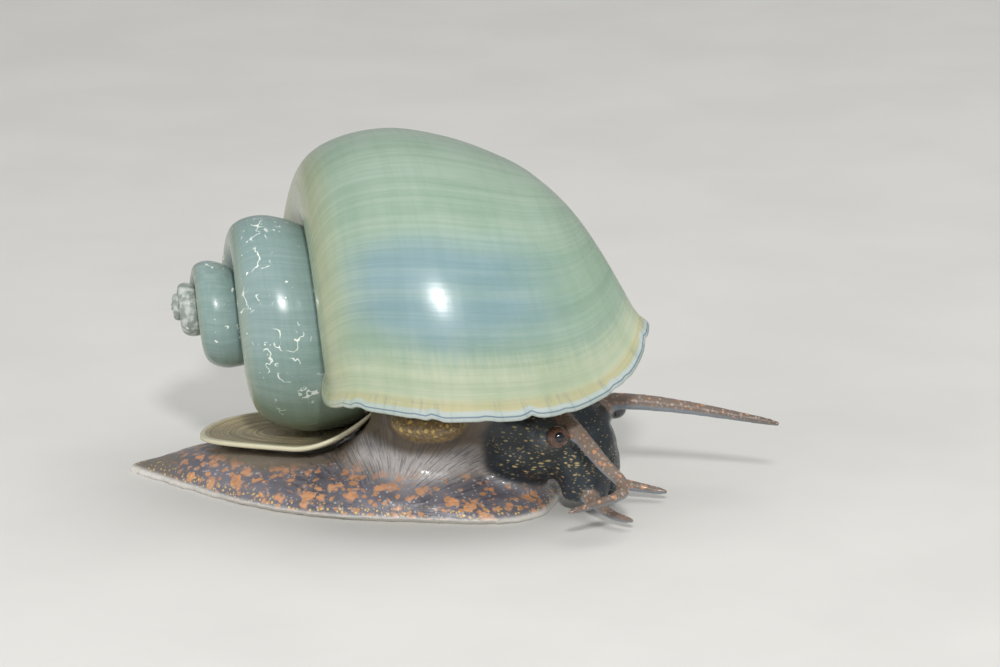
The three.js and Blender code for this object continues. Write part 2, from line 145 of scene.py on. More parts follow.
# Middle lines of the feelers
TENTACLES = [
    [(19.9, -2.6, 7.9), (21.0, -3.9, 8.4), (22.8, -5.0, 7.2), (25.0, -6.3, 5.5), (26.9, -7.4, 4.2),
     (26.8, -8.7, 3.8), (25.3, -10.0, 3.4), (23.2, -11.6, 2.9)],
    [(21.4, 1.8, 7.6), (22.8, 2.9, 8.3), (25.6, 3.9, 8.2), (29.4, 5.0, 7.7), (33.4, 6.0, 7.0),
     (36.9, 6.6, 6.4)],
]
EYES = {
    "eye_right": {"middle": (20.8, -5.7, 7.5), "gaze": (0.42, -0.88, 0.22)},
    "eye_left": {"middle": (23.2, 4.5, 7.4), "gaze": (0.55, 0.8, 0.22)},
}

# Lid, in millimetres
LID = {"x": -3.3, "y": -0.4, "z": 4.05, "half_length": 8.6, "half_width": 5.9}
LID_RISE_FROM = -2.2
LID_RISE = 0.085
LID_NUCLEUS = (-0.18, 0.12)
LID_RINGS = 44
LID_RING_POWER = 0.9  # draws the rings closer towards the rim
LID_SIDES = 160
LID_GROWTH_RINGS = 13
LID_WAVE = 0.012  # share of the radius
LID_WAVES = 5
LID_EDGE_THINNING = 0.35  # share of the thickness
LID_GAP = 0.1  # to the shell
SINK_STEP = 0.02
SINK_TRIES = 12

# Eyes
EYE_SEGMENTS = 64
EYE_RINGS = 48
PUPIL_BULGE = 0.07  # share of the radius
PUPIL_BULGE_ANGLE = 0.6  # radians

# Stage; its floor and wall are in metres
CAMERA_TARGET = (12.52, 6.83, 12.52)
SENSOR_WIDTH = 36
NEAREST_SEEN = 0.01  # metres
FLOOR_HALF_WIDTH = 1.6
FLOOR_HALF_DEPTH = 0.9
WALL_CURVE = 0.25
WALL_CURVE_STEPS = 16
WALL_HEIGHT = 1.2
STUDIO_COLOUR = (0.9, 0.93, 1.0)
STUDIO_STRENGTH = 0.4
LAMPS = {  # direction, distance, width, watts, and whether gloss mirrors it
    "key": ((0.23, -0.73, 0.46), 420, 38, 1.0, True),
    "fill": ((-0.7, -0.9, 0.5), 560, 520, 0.9, False),
    "top": ((0.4, 0.2, 1.0), 520, 560, 1.5, False),
}

# Tints
WORN_DARK = (0.24, 0.28, 0.25)
WORN_PALE = (0.5, 0.53, 0.48)
SCRATCHES = (0.82, 0.86, 0.78)
INNER_WALL = (0.5, 0.56, 0.52)
# Painted shade in the creases of the skin's folds
FOLD_CREASE_SHADE = (0.05, 0.052, 0.07)
GREY_DOTS = (0.4, 0.37, 0.36)
# Painted shade under the head, near the floor
HEAD_UNDERSIDE_SHADE = (0.018, 0.028, 0.045)
STALKS = (0.14, 0.17, 0.2)
FEELER_DOTS = (0.36, 0.28, 0.23)
LID_CLOUDS = (0.14, 0.15, 0.11)
PUPIL_BLACK = (0.006, 0.007, 0.009)
EYE_BACK = (0.05, 0.055, 0.06)


def linear(red, green, blue):
    """A colour as a screen shows it, 0 to 255, in the linear numbers that shaders take."""
    shares = [c / 255 for c in (red, green, blue)]
    return [c / 12.92 if c <= 0.04045 else ((c + 0.055) / 1.055) ** 2.4 for c in shares]


def length(name, description, default):
    """A length that a user would change, given here in millimetres."""
    return FloatProperty(name=name, description=description, default=default * MM, unit="LENGTH")


def amount(name, description, default):
    return FloatProperty(name=name, description=description, default=default)


def degrees(name, description, default):
    return FloatProperty(name=name, description=description, default=math.radians(default), unit="ROTATION")


def colour(name, description, red, green, blue):
    return FloatVectorProperty(
        name=name, description=description, subtype="COLOR", size=3, min=0, max=1,
        default=linear(red, green, blue),
    )


def toned(shade, share):
    """A colour made darker, or lighter by a share over one."""
    return [c * share for c in shade]


class ShellSettings(bpy.types.PropertyGroup):
    whorl_radius: length("Whorl radius", "From the coil's axis to the middle of the whorl, at the lip", 12.6)
    whorl_height: length("Whorl height", "From the spire's tip to the middle of the whorl, at the lip", 26.1)
    lip_turn: degrees("Lip turn", "Where the mouth's edge stands round the coil", 102.6)
    tube_growth: amount("Tube growth", "How many times the tube widens in one turn", 2.727)
    early_tube_growth: amount("Early tube growth", "The tube's growth before the late whorls", 2.0)
    late_whorls: amount("Late whorls", "Turns, counted from the lip, with the later growth", 1.6)
    radius_growth: amount("Radius growth", "How many times the coil widens in one turn", 1.75)
    early_radius_growth: amount("Early radius growth", "The coil's growth in the first small whorls", 2.0)
    closing_whorls: amount("Closing whorls", "Turns from the lip after which the coil closes up", 1.3)
    height_growth: amount("Height growth", "How many times the coil lengthens in one turn", 2.41)
    growth_ripple: length("Growth ripple", "Height of the unevenness that growth leaves", 0.035)
    wall: length("Wall", "Thickness of the shell inside the mouth", 0.9)
    lip_edge: length("Lip edge", "Thickness of the shell at the lip", 0.3)
    green: colour("Green", "Colour of the top of the last whorl", 154, 172, 154)
    blue: colour("Blue", "Colour of the band behind the cream edge", 136, 160, 166)
    cream: colour("Cream", "Colour of the newest shell, near the lip", 184, 190, 164)
    tan: colour("Tan", "Line just behind the lip", 188, 182, 146)
    line: colour("Line", "Thin dark line behind the lip's edge", 92, 112, 136)
    lip: colour("Lip", "Colour of the thin edge", 184, 192, 188)
    spire: colour("Spire", "Colour of the older whorls", 140, 160, 158)
    # Painted shade: a darker green laid on the older whorls' underside, near the floor
    spire_underside_shade: colour("Spire below", "Dull green of the older whorls' underside", 112, 126, 100)
    suture: colour("Suture", "Tint along the seam between whorls", 180, 180, 140)


class SkinSettings(bpy.types.PropertyGroup):
    voxel: length("Voxel", "Size of the grid that the flesh is joined on", 0.207)
    grow: length("Join", "How far the parts are grown to meet, and shrunk after", 0.24)
    foot: colour("Foot", "Ground colour of the foot's side", 118, 115, 122)
    foot_back: colour("Foot back", "Smooth upper side of the foot", 112, 104, 92)
    blotch: colour("Blotch", "Orange blotches on the foot", 206, 150, 108)
    margin: colour("Margin", "Thin edge of the sole", 214, 210, 202)
    dots: colour("Dots", "Fine dots above the margin and on the lobe", 224, 188, 106)
    neck: colour("Neck", "Grey brown of the neck", 106, 92, 74)
    pale: colour("Pale skin", "Where the flank turns up to the neck", 184, 180, 178)
    head: colour("Head", "Nearly black skin of the head", 34, 43, 48)
    dashes: colour("Dashes", "Short gold dashes on the cheek", 170, 152, 104)
    feeler: colour("Feeler", "Ground colour of the tentacles", 122, 106, 94)
    feeler_under: colour("Feeler under", "Underside of the tentacles", 134, 142, 150)
    mantle: colour("Mantle", "Flesh inside the mouth of the shell", 154, 132, 96)


class LidSettings(bpy.types.PropertyGroup):
    thickness: length("Thickness", "Thickness of the lid", 0.46)
    dish: length("Dish", "How far the long rims rise above the middle", 0.85)
    ridge: length("Ridge", "Height of the growth rings", 0.03)
    horn: colour("Horn", "Olive tan of the lid", 168, 154, 122)
    rim: colour("Rim", "Cream edge of the lid", 208, 202, 172)


class EyeSettings(bpy.types.PropertyGroup):
    radius: length("Eye radius", "Radius of the eyeball", 0.95)
    pupil: degrees("Pupil", "Half angle of the pupil", 25)
    ring: colour("Ring", "Brown orange ring of the eye", 98, 70, 58)


class StageSettings(bpy.types.PropertyGroup):
    azimuth: degrees("Azimuth", "Camera's turn round the snail", 15)
    elevation: degrees("Elevation", "Camera's height angle", 15)
    distance: length("Distance", "From the camera to the snail", 420)
    width: length("Width", "Width of the camera's view at the snail", 85)
    floor: colour("Floor", "Plain pale floor", 214, 212, 206)


class Pen:
    """Adds nodes to a tree in few words."""

    def __init__(self, tree):
        self.tree = tree

    def node(self, kind, inputs=None, **settings):
        made = self.tree.nodes.new(kind)
        for name, value in settings.items():
            setattr(made, name, value)
        for key, value in (inputs or {}).items():
            self.feed(made.inputs[key], value)
        return made

    def feed(self, socket, value):
        """Links a value to a socket if it is another node's output, and sets it otherwise."""
        if isinstance(value, bpy.types.NodeSocket):
            self.tree.links.new(value, socket)
        elif socket.type == "RGBA":
            socket.default_value = (*value[:3], 1)
        else:
            socket.default_value = value

    def math(self, operation, first, second=0.0, third=0.0):
        inputs = {0: first, 1: second, 2: third}
        return self.node("ShaderNodeMath", inputs, operation=operation).outputs[0]

    def times(self, first, second):
        return self.math("MULTIPLY", first, second)

    def plus(self, first, second):
        return self.math("ADD", first, second)

    def minus(self, first, second):
        return self.math("SUBTRACT", first, second)

    def times_plus(self, first, second, third):
        return self.math("MULTIPLY_ADD", first, second, third)

    def vector(self, operation, first, second=(0, 0, 0)):
        key = "Scale" if operation == "SCALE" else 1
        made = self.node("ShaderNodeVectorMath", {0: first, key: second}, operation=operation)
        return made.outputs["Vector"]

    def combine(self, x=0.0, y=0.0, z=0.0):
        return self.node("ShaderNodeCombineXYZ", {0: x, 1: y, 2: z}).outputs[0]

    def span(self, value, low, high, to_low=0.0, to_high=1.0):
        """Where a value lies between two others, eased at both ends."""
        inputs = {"Value": value, "From Min": low, "From Max": high, "To Min": to_low, "To Max": to_high}
        return self.node("ShaderNodeMapRange", inputs, interpolation_type="SMOOTHSTEP").outputs[0]

    def mix(self, share, first, second, blend="MIX"):
        """Mixes colours, which are the Mix node's inputs 6 and 7 and its output 2."""
        made = self.node("ShaderNodeMix", {0: share, 6: first, 7: second}, data_type="RGBA", blend_type=blend)
        return made.outputs[2]

    def attribute(self, name):
        return self.node("ShaderNodeAttribute", attribute_name=name).outputs["Fac"]

    def noise(self, place, scale, detail=2.0, roughness=0.5):
        inputs = {"Vector": place, "Scale": scale, "Detail": detail, "Roughness": roughness}
        return self.node("ShaderNodeTexNoise", inputs).outputs["Fac"]

    def ramp(self, value, stops):
        """A colour ramp with (place, colour) stops."""
        made = self.node("ShaderNodeValToRGB", {0: value})
        elements = made.color_ramp.elements
        while len(elements) < len(stops):
            elements.new(1.0)
        for element, (place, shade) in zip(elements, stops):
            element.position = place
            element.color = (*shade[:3], 1)
        return made.outputs["Color"]


class MaterialPen(Pen):
    """A pen for a material of its own; its place is the Object coordinates, in millimetres."""

    def __init__(self, name):
        self.material = bpy.data.materials.new(name)
        self.material.use_nodes = True
        super().__init__(self.material.node_tree)
        self.place = self.vector("SCALE", self.node("ShaderNodeTexCoord").outputs["Object"], 1 / MM)

    def dots(self, density, size, softness, warp):
        """Dots all over a surface: where they are, and a number from 0 to 1 that each has for itself."""
        inputs = {
            "Place": self.place, "Density": density if isinstance(density, tuple) else (density,) * 3,
            "Size": size, "Softness": softness, "Warp": warp,
        }
        made = self.node("ShaderNodeGroup", inputs, node_tree=speckles())
        return made.outputs["Mask"], made.outputs["Chance"]

    def spots(self, shade, tint, where, density, size, softness, warp, chance=None):
        """Lays dots of a tint over a shade where a mask says, all of them or those past a chance."""
        mask, number = self.dots(density, size, softness, warp)
        share = self.times(mask, where)
        if chance is not None:
            share = self.times(share, self.span(number, chance, chance + 0.06))
        return self.mix(share, shade, tint)

    def surface(self, shade, roughness, coat=(0, 0.03), relief=None, depth=0.1, strength=0.5):
        """Feeds the shader; the coat is a weight and a roughness, and the depth is in millimetres."""
        inputs = self.tree.nodes["Principled BSDF"].inputs
        self.feed(inputs["Base Color"], shade)
        self.feed(inputs["Roughness"], roughness)
        inputs["Coat Weight"].default_value, inputs["Coat Roughness"].default_value = coat
        if relief is not None:
            raised = {"Strength": strength, "Distance": depth * MM, "Height": relief}
            self.feed(inputs["Normal"], self.node("ShaderNodeBump", raised).outputs[0])
        return self.material


def add_sockets(tree, inputs, outputs):
    """Gives a tree its named sockets, as (name, type, subtype or None)."""
    for direction, sockets in (("INPUT", inputs), ("OUTPUT", outputs)):
        for name, kind, subtype in sockets:
            socket = tree.interface.new_socket(name, in_out=direction, socket_type="NodeSocket" + kind)
            if subtype:
                socket.subtype = subtype


def speckles():
    """Round or stretched dots scattered over a surface, of uneven size: the group that every marking uses."""
    found = bpy.data.node_groups.get("Speckles")
    if found:
        return found
    tree = bpy.data.node_groups.new("Speckles", "ShaderNodeTree")
    add_sockets(
        tree,
        [("Place", "Vector", None), ("Density", "Vector", None), ("Size", "Float", None),
         ("Softness", "Float", None), ("Warp", "Float", None)],
        [("Mask", "Float", None), ("Chance", "Float", None)],
    )
    pen = Pen(tree)
    start = pen.node("NodeGroupInput").outputs
    wobble = pen.node("ShaderNodeTexNoise", {"Vector": start["Place"], "Scale": 1.3, "Detail": 2.0})
    shift = pen.vector("SUBTRACT", wobble.outputs["Color"], (0.5, 0.5, 0.5))
    warped = pen.vector("ADD", start["Place"], pen.vector("SCALE", shift, start["Warp"]))
    scaled = pen.vector("MULTIPLY", warped, start["Density"])
    cells = pen.node("ShaderNodeTexVoronoi", {"Vector": scaled, "Scale": 1.0})
    chance = pen.times(cells.outputs["Color"], 1.0)  # makes a number of the cell's colour
    reach = pen.times(start["Size"], pen.span(chance, 0.15, 0.85, 0.35, 1.25))
    near = pen.minus(reach, cells.outputs["Distance"])
    mask = pen.math("DIVIDE", near, start["Softness"])
    clamped = pen.node("ShaderNodeClamp", {"Value": mask}).outputs[0]
    end = pen.node("NodeGroupOutput").inputs
    tree.links.new(clamped, end["Mask"])
    tree.links.new(chance, end["Chance"])
    return tree


def smoothstep(value, low, high):
    share = np.clip((value - low) / (high - low), 0, 1)
    return share * share * (3 - 2 * share)


def add_object(name, data):
    made = bpy.data.objects.new(name, data)
    bpy.context.scene.collection.objects.link(made)
    return made


def mesh_object(name, points, faces, material):
    """A finished object at the origin, smooth shaded."""
    mesh = bpy.data.meshes.new(name)
    mesh.from_pydata([tuple(p) for p in points], [], faces)
    mesh.materials.append(material)
    mesh.shade_smooth()
    return add_object(name, mesh)


def result_of(made):
    """An object's mesh with its modifiers carried out."""
    bpy.context.view_layer.update()
    return bpy.data.meshes.new_from_object(made.evaluated_get(bpy.context.evaluated_depsgraph_get()))


def set_attribute(mesh, name, values):
    layer = mesh.attributes.new(name, "FLOAT", "POINT")
    layer.data.foreach_set("value", np.asarray(values, np.float32).ravel())


def rows_of(items, name):
    """A vector that each item of a mesh holds, as the rows of an array."""
    flat = np.empty(len(items) * 3)
    items.foreach_get(name, flat)
    return flat.reshape(-1, 3)


def place_points(mesh, points):
    mesh.vertices.foreach_set("co", np.asarray(points, np.float32).ravel())
    mesh.update()


def side_pairs(rings, sides):
    """Each point of these rings with the next one round, as pairs of indices."""
    nexts = [(side, (side + 1) % sides) for side in range(sides)]
    return [(ring * sides + a, ring * sides + b) for ring in rings for a, b in nexts]


def finish_piece(piece, slot, *nodes):
    """Ties a piece to the frame, in place of its nodes."""
    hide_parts(*nodes)
    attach(piece, "root")


# Shell
def closed_curve(corners, count):
    """Points spaced evenly along a smooth closed curve through the corners."""
    corners = np.array(corners, float)
    share = np.linspace(0, 1, 40, endpoint=False)[:, None]
    fine = []
    for i in range(len(corners)):
        before, start, end, after = (corners[(i + k) % len(corners)] for k in (-1, 0, 1, 2))
        spans = [np.linalg.norm(b - a) ** 0.5 for a, b in ((before, start), (start, end), (end, after))]
        rise = (end - start) / spans[1]
        leave = ((start - before) / spans[0] - (end - before) / (spans[0] + spans[1]) + rise) * spans[1]
        arrive = (rise - (after - start) / (spans[1] + spans[2]) + (after - end) / spans[2]) * spans[1]
        cubic = 2 * start - 2 * end + leave + arrive
        square = -3 * start + 3 * end - 2 * leave - arrive
        fine.append(start + leave * share + square * share ** 2 + cubic * share ** 3)
    fine = np.vstack([*fine, corners[:1]])
    walked = np.concatenate([[0], np.cumsum(np.linalg.norm(np.diff(fine, axis=0), axis=1))])
    at = np.linspace(0, walked[-1], count, endpoint=False)
    return np.column_stack([np.interp(at, walked, fine[:, k]) for k in (0, 1)])


def shell_rows(settings):
    """The shell's rings, outside from tip to lip and then back along the inner wall, as (turn, inset)."""
    edge = settings.lip_edge / MM
    wall = settings.wall / MM
    rows = [(turn, FACET_INSET) for turn in np.arange(-SHELL_TURNS * 360, 0, RING_STEP)]
    rows += [(-LIP_ROUNDING, FACET_INSET * 0.5), (0, 0), (0.5, edge / 2)]
    for turn in [0, -LIP_ROUNDING, *np.arange(-RING_STEP, -MOUTH_DEPTH, -RING_STEP)]:
        rows.append((turn, edge + (wall - edge) * smoothstep(-turn, 0, WALL_REACH)))
    return np.array(rows, float)


def lip_lead(share):
    """How far round the coil the lip stands ahead of its plane, at each point of the section."""
    beyond = np.arange(SECTION_POINTS) > np.argmax(share)
    drawn_back = np.where(beyond, smoothstep(share, 0.3, 0.95), share ** NAVEL_POWER)
    return LEAD + LEAD_SLOPE * share + LEAD_AT_SEAM * (1 - share) ** SEAM_POWER - DRAWN_AT_NAVEL * drawn_back


def lip_waves(around):
    """The slight waves and the chips of the lip's edge."""
    waves = 0.25 * np.sin(around * 37) * np.sin(around * 11 + 2) + 0.12 * np.sin(around * 83 + 1)
    for place, depth in LIP_CHIPS:
        waves = waves - depth * np.exp(-((around - place) / CHIP_WIDTH) ** 2)
    return waves


def shell_sheet(settings, material):
    """The shell's grid before it is coiled, with each point's turn, place in the section and inset."""
    outline = closed_curve(WHORL_OUTLINE, SECTION_POINTS)
    along = outline[:, 1]
    share = (along - along.min()) / (along.max() - along.min())
    around = np.arange(SECTION_POINTS) / SECTION_POINTS
    lead, waves = lip_lead(share), lip_waves(around)
    rows = shell_rows(settings)
    count = len(rows)
    turn, inset = rows[:, :1], rows[:, 1:]
    angle = turn + smoothstep(turn, -LEAD_REACH, 0) * lead + smoothstep(turn, -WAVES_REACH, 0) * waves
    flare = FLARE * smoothstep(turn, -FLARE_REACH, 0) ** 2
    inner = np.arange(count) > np.argmax(turn)
    pairs = side_pairs(range(count - 1), SECTION_POINTS)
    faces = [(a, a + SECTION_POINTS, b + SECTION_POINTS, b) for a, b in pairs]
    last = (count - 1) * SECTION_POINTS
    faces.append(tuple(range(SECTION_POINTS)))
    faces.append(tuple(range(last + SECTION_POINTS - 1, last - 1, -1)))
    made = mesh_object("shell_coil", np.zeros((count * SECTION_POINTS, 3)), faces, material)
    grid = np.ones((count, SECTION_POINTS))
    for name, values in {
        "turns": angle / 360, "out": outline[:, 0] * grid * MM, "along": along * grid * MM,
        "inset": (inset - flare) * grid * MM, "age": lead - angle, "gap": lead + waves - angle,
        "share": share * grid, "around": around * grid, "inner": inner[:, None] * grid,
    }.items():
        set_attribute(made.data, name, values)
    return made


def coil_pose():
    """Where the coil's tip stands on the snail, and how the coil is turned there."""
    yaw, pitch = math.radians(SHELL_YAW), math.radians(SHELL_PITCH)
    axis = Vector((math.cos(yaw) * math.cos(pitch), math.sin(yaw) * math.cos(pitch), math.sin(pitch)))
    up = (Vector((0, 0, 1)) - axis * axis.z).normalized()
    turn = Matrix((up, axis.cross(up), axis)).transposed()
    return Vector(APEX) * MM, turn.to_euler()


COIL_SIZES = {  # inputs of the coil's tree that take the setting of the same name
    "Whorl radius": "DISTANCE", "Whorl height": "DISTANCE", "Lip turn": "ANGLE", "Tube growth": None,
    "Early tube growth": None, "Late whorls": None, "Radius growth": None, "Early radius growth": None,
    "Closing whorls": None, "Height growth": None, "Growth ripple": "DISTANCE",
}


def coil_growth(pen, turns, early, late, threshold):
    """The size at a turn, with one growth before the threshold and another after it."""
    recent = pen.math("MAXIMUM", turns, pen.times(threshold, -1.0))
    old = pen.minus(turns, recent)
    return pen.times(pen.math("POWER", late, recent), pen.math("POWER", early, old))


def coil_place(pen, start):
    """Where each point of the sheet lies once it is wound."""
    turns, out, along, age, inset = (
        pen.node("GeometryNodeInputNamedAttribute", {0: name}).outputs[0]
        for name in ("turns", "out", "along", "age", "inset"))
    tube = coil_growth(pen, turns, start["Early tube growth"], start["Tube growth"], start["Late whorls"])
    widening = coil_growth(
        pen, turns, start["Early radius growth"], start["Radius growth"], start["Closing whorls"])
    ripples = pen.node(
        "ShaderNodeTexNoise", {"W": pen.times(age, 0.16), "Detail": 3.0}, noise_dimensions="1D")
    swell = pen.times(pen.minus(ripples.outputs[0], 0.5), start["Growth ripple"])
    swell = pen.times(swell, pen.math("POWER", tube, 0.5))
    squares = pen.plus(pen.math("POWER", out, 2.0), pen.math("POWER", along, 2.0))
    inset = pen.minus(inset, pen.times(swell, 2.0))
    trimmed = pen.math("DIVIDE", inset, pen.math("SQRT", squares))
    small = pen.math("MINIMUM", pen.times(tube, 3.0), 1.0)
    keep = pen.minus(tube, pen.times(trimmed, small))
    radius = pen.times_plus(keep, out, pen.times(widening, start["Whorl radius"]))
    rise = pen.math("POWER", start["Height growth"], turns)
    height = pen.times_plus(keep, along, pen.times(rise, start["Whorl height"]))
    angle = pen.times_plus(turns, 2 * math.pi, start["Lip turn"])
    cosine, sine = pen.math("COSINE", angle), pen.math("SINE", angle)
    return pen.combine(pen.times(radius, cosine), pen.times(radius, sine), height)


def coil_tree():
    """Geometry nodes that wind a sheet into a shell, whose sizes all grow by a fixed share in a turn."""
    tree = bpy.data.node_groups.new("Coil a shell", "GeometryNodeTree")
    geometry = ("Geometry", "Geometry", None)
    sizes = [(name, "Float", subtype) for name, subtype in COIL_SIZES.items()]
    pose = [("Place", "Vector", "TRANSLATION"), ("Rotation", "Vector", "EULER")]
    add_sockets(tree, [geometry, *sizes, *pose, ("Material", "Material", None)], [geometry])
    pen = Pen(tree)
    start = pen.node("NodeGroupInput").outputs
    place = coil_place(pen, start)
    wound = pen.node("GeometryNodeSetPosition", {"Geometry": start["Geometry"], "Position": place})
    rotation = pen.node("FunctionNodeEulerToRotation", {0: start["Rotation"]})
    posed = pen.node("GeometryNodeTransform", {
        "Geometry": wound.outputs[0], "Translation": start["Place"], "Rotation": rotation.outputs[0]})
    whole = pen.node("GeometryNodeRealizeInstances", {"Geometry": posed.outputs[0]})
    painted = pen.node(
        "GeometryNodeSetMaterial", {"Geometry": whole.outputs[0], "Material": start["Material"]})
    end = pen.node("NodeGroupOutput").inputs
    tree.links.new(painted.outputs[0], end["Geometry"])
    return tree


def bake_modifier(made, tree, values):
    """Runs a Geometry Nodes tree over an object and keeps the result as a plain mesh."""
    modifier = made.modifiers.new(tree.name, "NODES")
    modifier.node_group = tree
    for item in tree.interface.items_tree:
        if item.in_out == "INPUT" and item.name in values:
            modifier[item.identifier] = values[item.name]
    mesh = result_of(made)
    made.modifiers.clear()
    made.data = mesh
    mesh.shade_smooth()


def shell_zones(pen, settings, age, share, streaks, arcs):
    """The shell's ground colours, from the lip backwards, with painted shade on the older whorls' underside.
    """
    frayed = pen.times_plus(pen.minus(streaks, 0.5), 9.0, age)
    drifted = pen.times_plus(pen.minus(pen.noise(pen.place, 0.12, 2.0), 0.5), 16.0, age)
    blue = pen.times(pen.span(drifted, 14.0, 26.0), pen.span(drifted, 54.0, 38.0))
    middle = pen.times(pen.span(share, 0.04, 0.22), pen.span(share, 0.9, 0.55))
    blue = pen.times(pen.times(blue, middle), pen.span(arcs, 0.3, 0.6, 0.75, 1.0))
    zone = pen.mix(blue, settings.green, settings.blue)
    zone = pen.mix(pen.span(frayed, 19.0, 8.0), zone, settings.cream)
    edge = pen.ramp(pen.math("DIVIDE", pen.attribute("gap"), 10.0), [
        (0.0, settings.lip), (0.06, settings.lip), (0.09, settings.line), (0.12, settings.lip),
        (0.19, settings.lip), (0.25, settings.tan), (0.42, settings.tan)])
    edge = pen.mix(pen.span(streaks, 0.5, 0.7, 0.0, 0.22), edge, settings.line)
    shade = pen.mix(pen.span(age, 3.6, 6.0), edge, zone)
    old = pen.span(age, 200.0, 300.0)
    shade = pen.mix(old, shade, settings.spire)
    # Painted shade: the older whorls grow darker and greener from 14 mm high down to 6.5 mm, towards the floor
    height = pen.node("ShaderNodeSeparateXYZ", {0: pen.place}).outputs[2]
    low = pen.times(pen.span(height, 14.0, 6.5), old)
    shade = pen.mix(pen.times(low, 0.75), shade, settings.spire_underside_shade)
    seam = pen.times(pen.span(share, 0.13, 0.0), pen.span(age, 420.0, 180.0, 0.3, 0.7))
    return pen.mix(seam, shade, settings.suture)


def shell_wear(pen, age, clouds):
    """Masks for the old whorls: white scratches, silvery wear, and the mottling of that wear."""
    crossing = pen.math("ABSOLUTE", pen.minus(pen.noise(pen.place, 0.55, 3.0), 0.5))
    patches = pen.noise(pen.vector("ADD", pen.place, (31, 17, 5)), 0.42, 2.0)
    scratched = pen.times(pen.span(crossing, 0.02, 0.008), pen.span(patches, 0.56, 0.63))
    scratched = pen.times(scratched, pen.span(age, 280.0, 380.0))
    scars, number = pen.dots(1.3, 0.15, 0.05, 1.2)
    scars = pen.times(pen.times(scars, pen.span(number, 0.6, 0.7)), pen.span(age, 300.0, 400.0))
    worn = pen.times(pen.span(age, 700.0, 1080.0), pen.span(clouds, 0.4, 0.6, 0.3, 1.0))
    mottled = pen.span(pen.noise(pen.place, 1.6, 3.0), 0.4, 0.6)
    return pen.math("MAXIMUM", scratched, scars), worn, mottled


def shell_material(settings):
    """Glossy shell: zones that follow the lip, growth lines, faint spiral bands and wear."""
    pen = MaterialPen("snail_shell")
    age, share, around = (pen.attribute(name) for name in ("age", "share", "around"))
    streaks = pen.noise(pen.combine(pen.times(age, 0.12), pen.times(around, 150.0)), 1.0, 3.0)
    lines = pen.noise(pen.combine(age, pen.times(share, 1.5)), 0.9, 4.0, 0.65)
    arcs = pen.noise(pen.combine(age, pen.times(share, 2.0)), 0.2, 2.0)
    bands = pen.noise(pen.combine(pen.times(age, 0.02), pen.times(around, 60.0)), 1.0, 3.0)
    clouds = pen.noise(pen.place, 0.16, 3.0)
    shade = shell_zones(pen, settings, age, share, streaks, arcs)
    for pattern, full, strength, tint in (
        (lines, 0.62, 0.5, (0.8, 0.86, 0.82)), (arcs, 0.62, 0.7, (0.86, 0.9, 0.9)),
        (bands, 0.65, 0.4, (0.84, 0.9, 0.86)), (clouds, 0.65, 0.7, (0.84, 0.9, 0.84)),
    ):
        shade = pen.mix(pen.span(pattern, 0.4, full, 0.0, strength), shade, tint, "MULTIPLY")
    scratched, worn, mottled = shell_wear(pen, age, clouds)
    shade = pen.mix(worn, shade, pen.mix(mottled, WORN_DARK, WORN_PALE))
    shade = pen.mix(scratched, shade, SCRATCHES)
    inside = pen.times(pen.attribute("inner"), pen.span(age, 1.0, 5.0))
    shade = pen.mix(inside, shade, INNER_WALL)
    uneven = pen.times(pen.plus(lines, clouds), 0.5)
    rough = pen.times_plus(worn, 0.25, pen.times_plus(uneven, 0.2, 0.16))
    relief = pen.times(pen.plus(lines, bands), 0.4)
    relief = pen.plus(relief, pen.times(mottled, worn))
    return pen.surface(shade, rough, (0.3, 0.08), relief, depth=0.05, strength=0.4)


def add_pillar(shell):
    """Fills the middle of the coil up to a deep hollow, and gives the tip its blunt first whorl."""
    place, rotation = coil_pose()
    pose = Matrix.LocRotScale(place, rotation, None)
    whole = bmesh.new()
    whole.from_mesh(shell.data)
    ages = whole.verts.layers.float["age"]
    rings = []
    for radius, height in PILLAR:
        ring = []
        for side in range(PILLAR_SIDES if radius else 1):
            turn = side / PILLAR_SIDES * 2 * math.pi
            point = Vector((radius * math.cos(turn), radius * math.sin(turn), height))
            ring.append(whole.verts.new(pose @ (point * MM)))
            ring[-1][ages] = PILLAR_AGE
        rings.append(ring)
    for low, high in zip(rings, rings[1:]):
        for i in range(PILLAR_SIDES):
            j = (i + 1) % PILLAR_SIDES
            corners = [low[i % len(low)], low[j % len(low)], high[j % len(high)], high[i % len(high)]]
            whole.faces.new(dict.fromkeys(corners)).smooth = True
    whole.to_mesh(shell.data)
    whole.free()


class SNAIL_OT_shell(bpy.types.Operator):
    """Wind the shell from its growth rules"""
    bl_idname = "snail.shell"
    bl_label = "Shell"

    def execute(self, context):
        settings = context.scene.snail_shell
        material = shell_material(settings)
        shell = shell_sheet(settings, material)
        place, rotation = coil_pose()
        values = {name: getattr(settings, name.lower().replace(" ", "_")) for name in COIL_SIZES}
        values.update({"Place": place, "Rotation": rotation, "Material": material})
        bake_modifier(shell, coil_tree(), values)
        add_pillar(shell)
        finish_piece(shell, "shell", "shell")
        return {"FINISHED"}


# Skin
def flesh_parts(grow):
    """Every node of flesh as points and faces, each grown by a little so that neighbours meet."""
    points, faces, owners = [], [], []
    for region, nodes in REGIONS.items():
        for name in nodes:
            part = bmesh.new()
            part.from_mesh(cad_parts[name].data)
            bmesh.ops.remove_doubles(part, verts=part.verts, dist=SAME_POINT * MM)
            part.normal_update()
            first = len(points)
            for corner in part.verts:
                sharpness = min(corner.calc_shell_factor(), SHARPEST_CORNER)
                points.append(corner.co + corner.normal * grow * sharpness)
            for face in part.faces:
                faces.append([first + corner.index for corner in face.verts])
                owners.append(region)
            part.free()
    return points, faces, owners


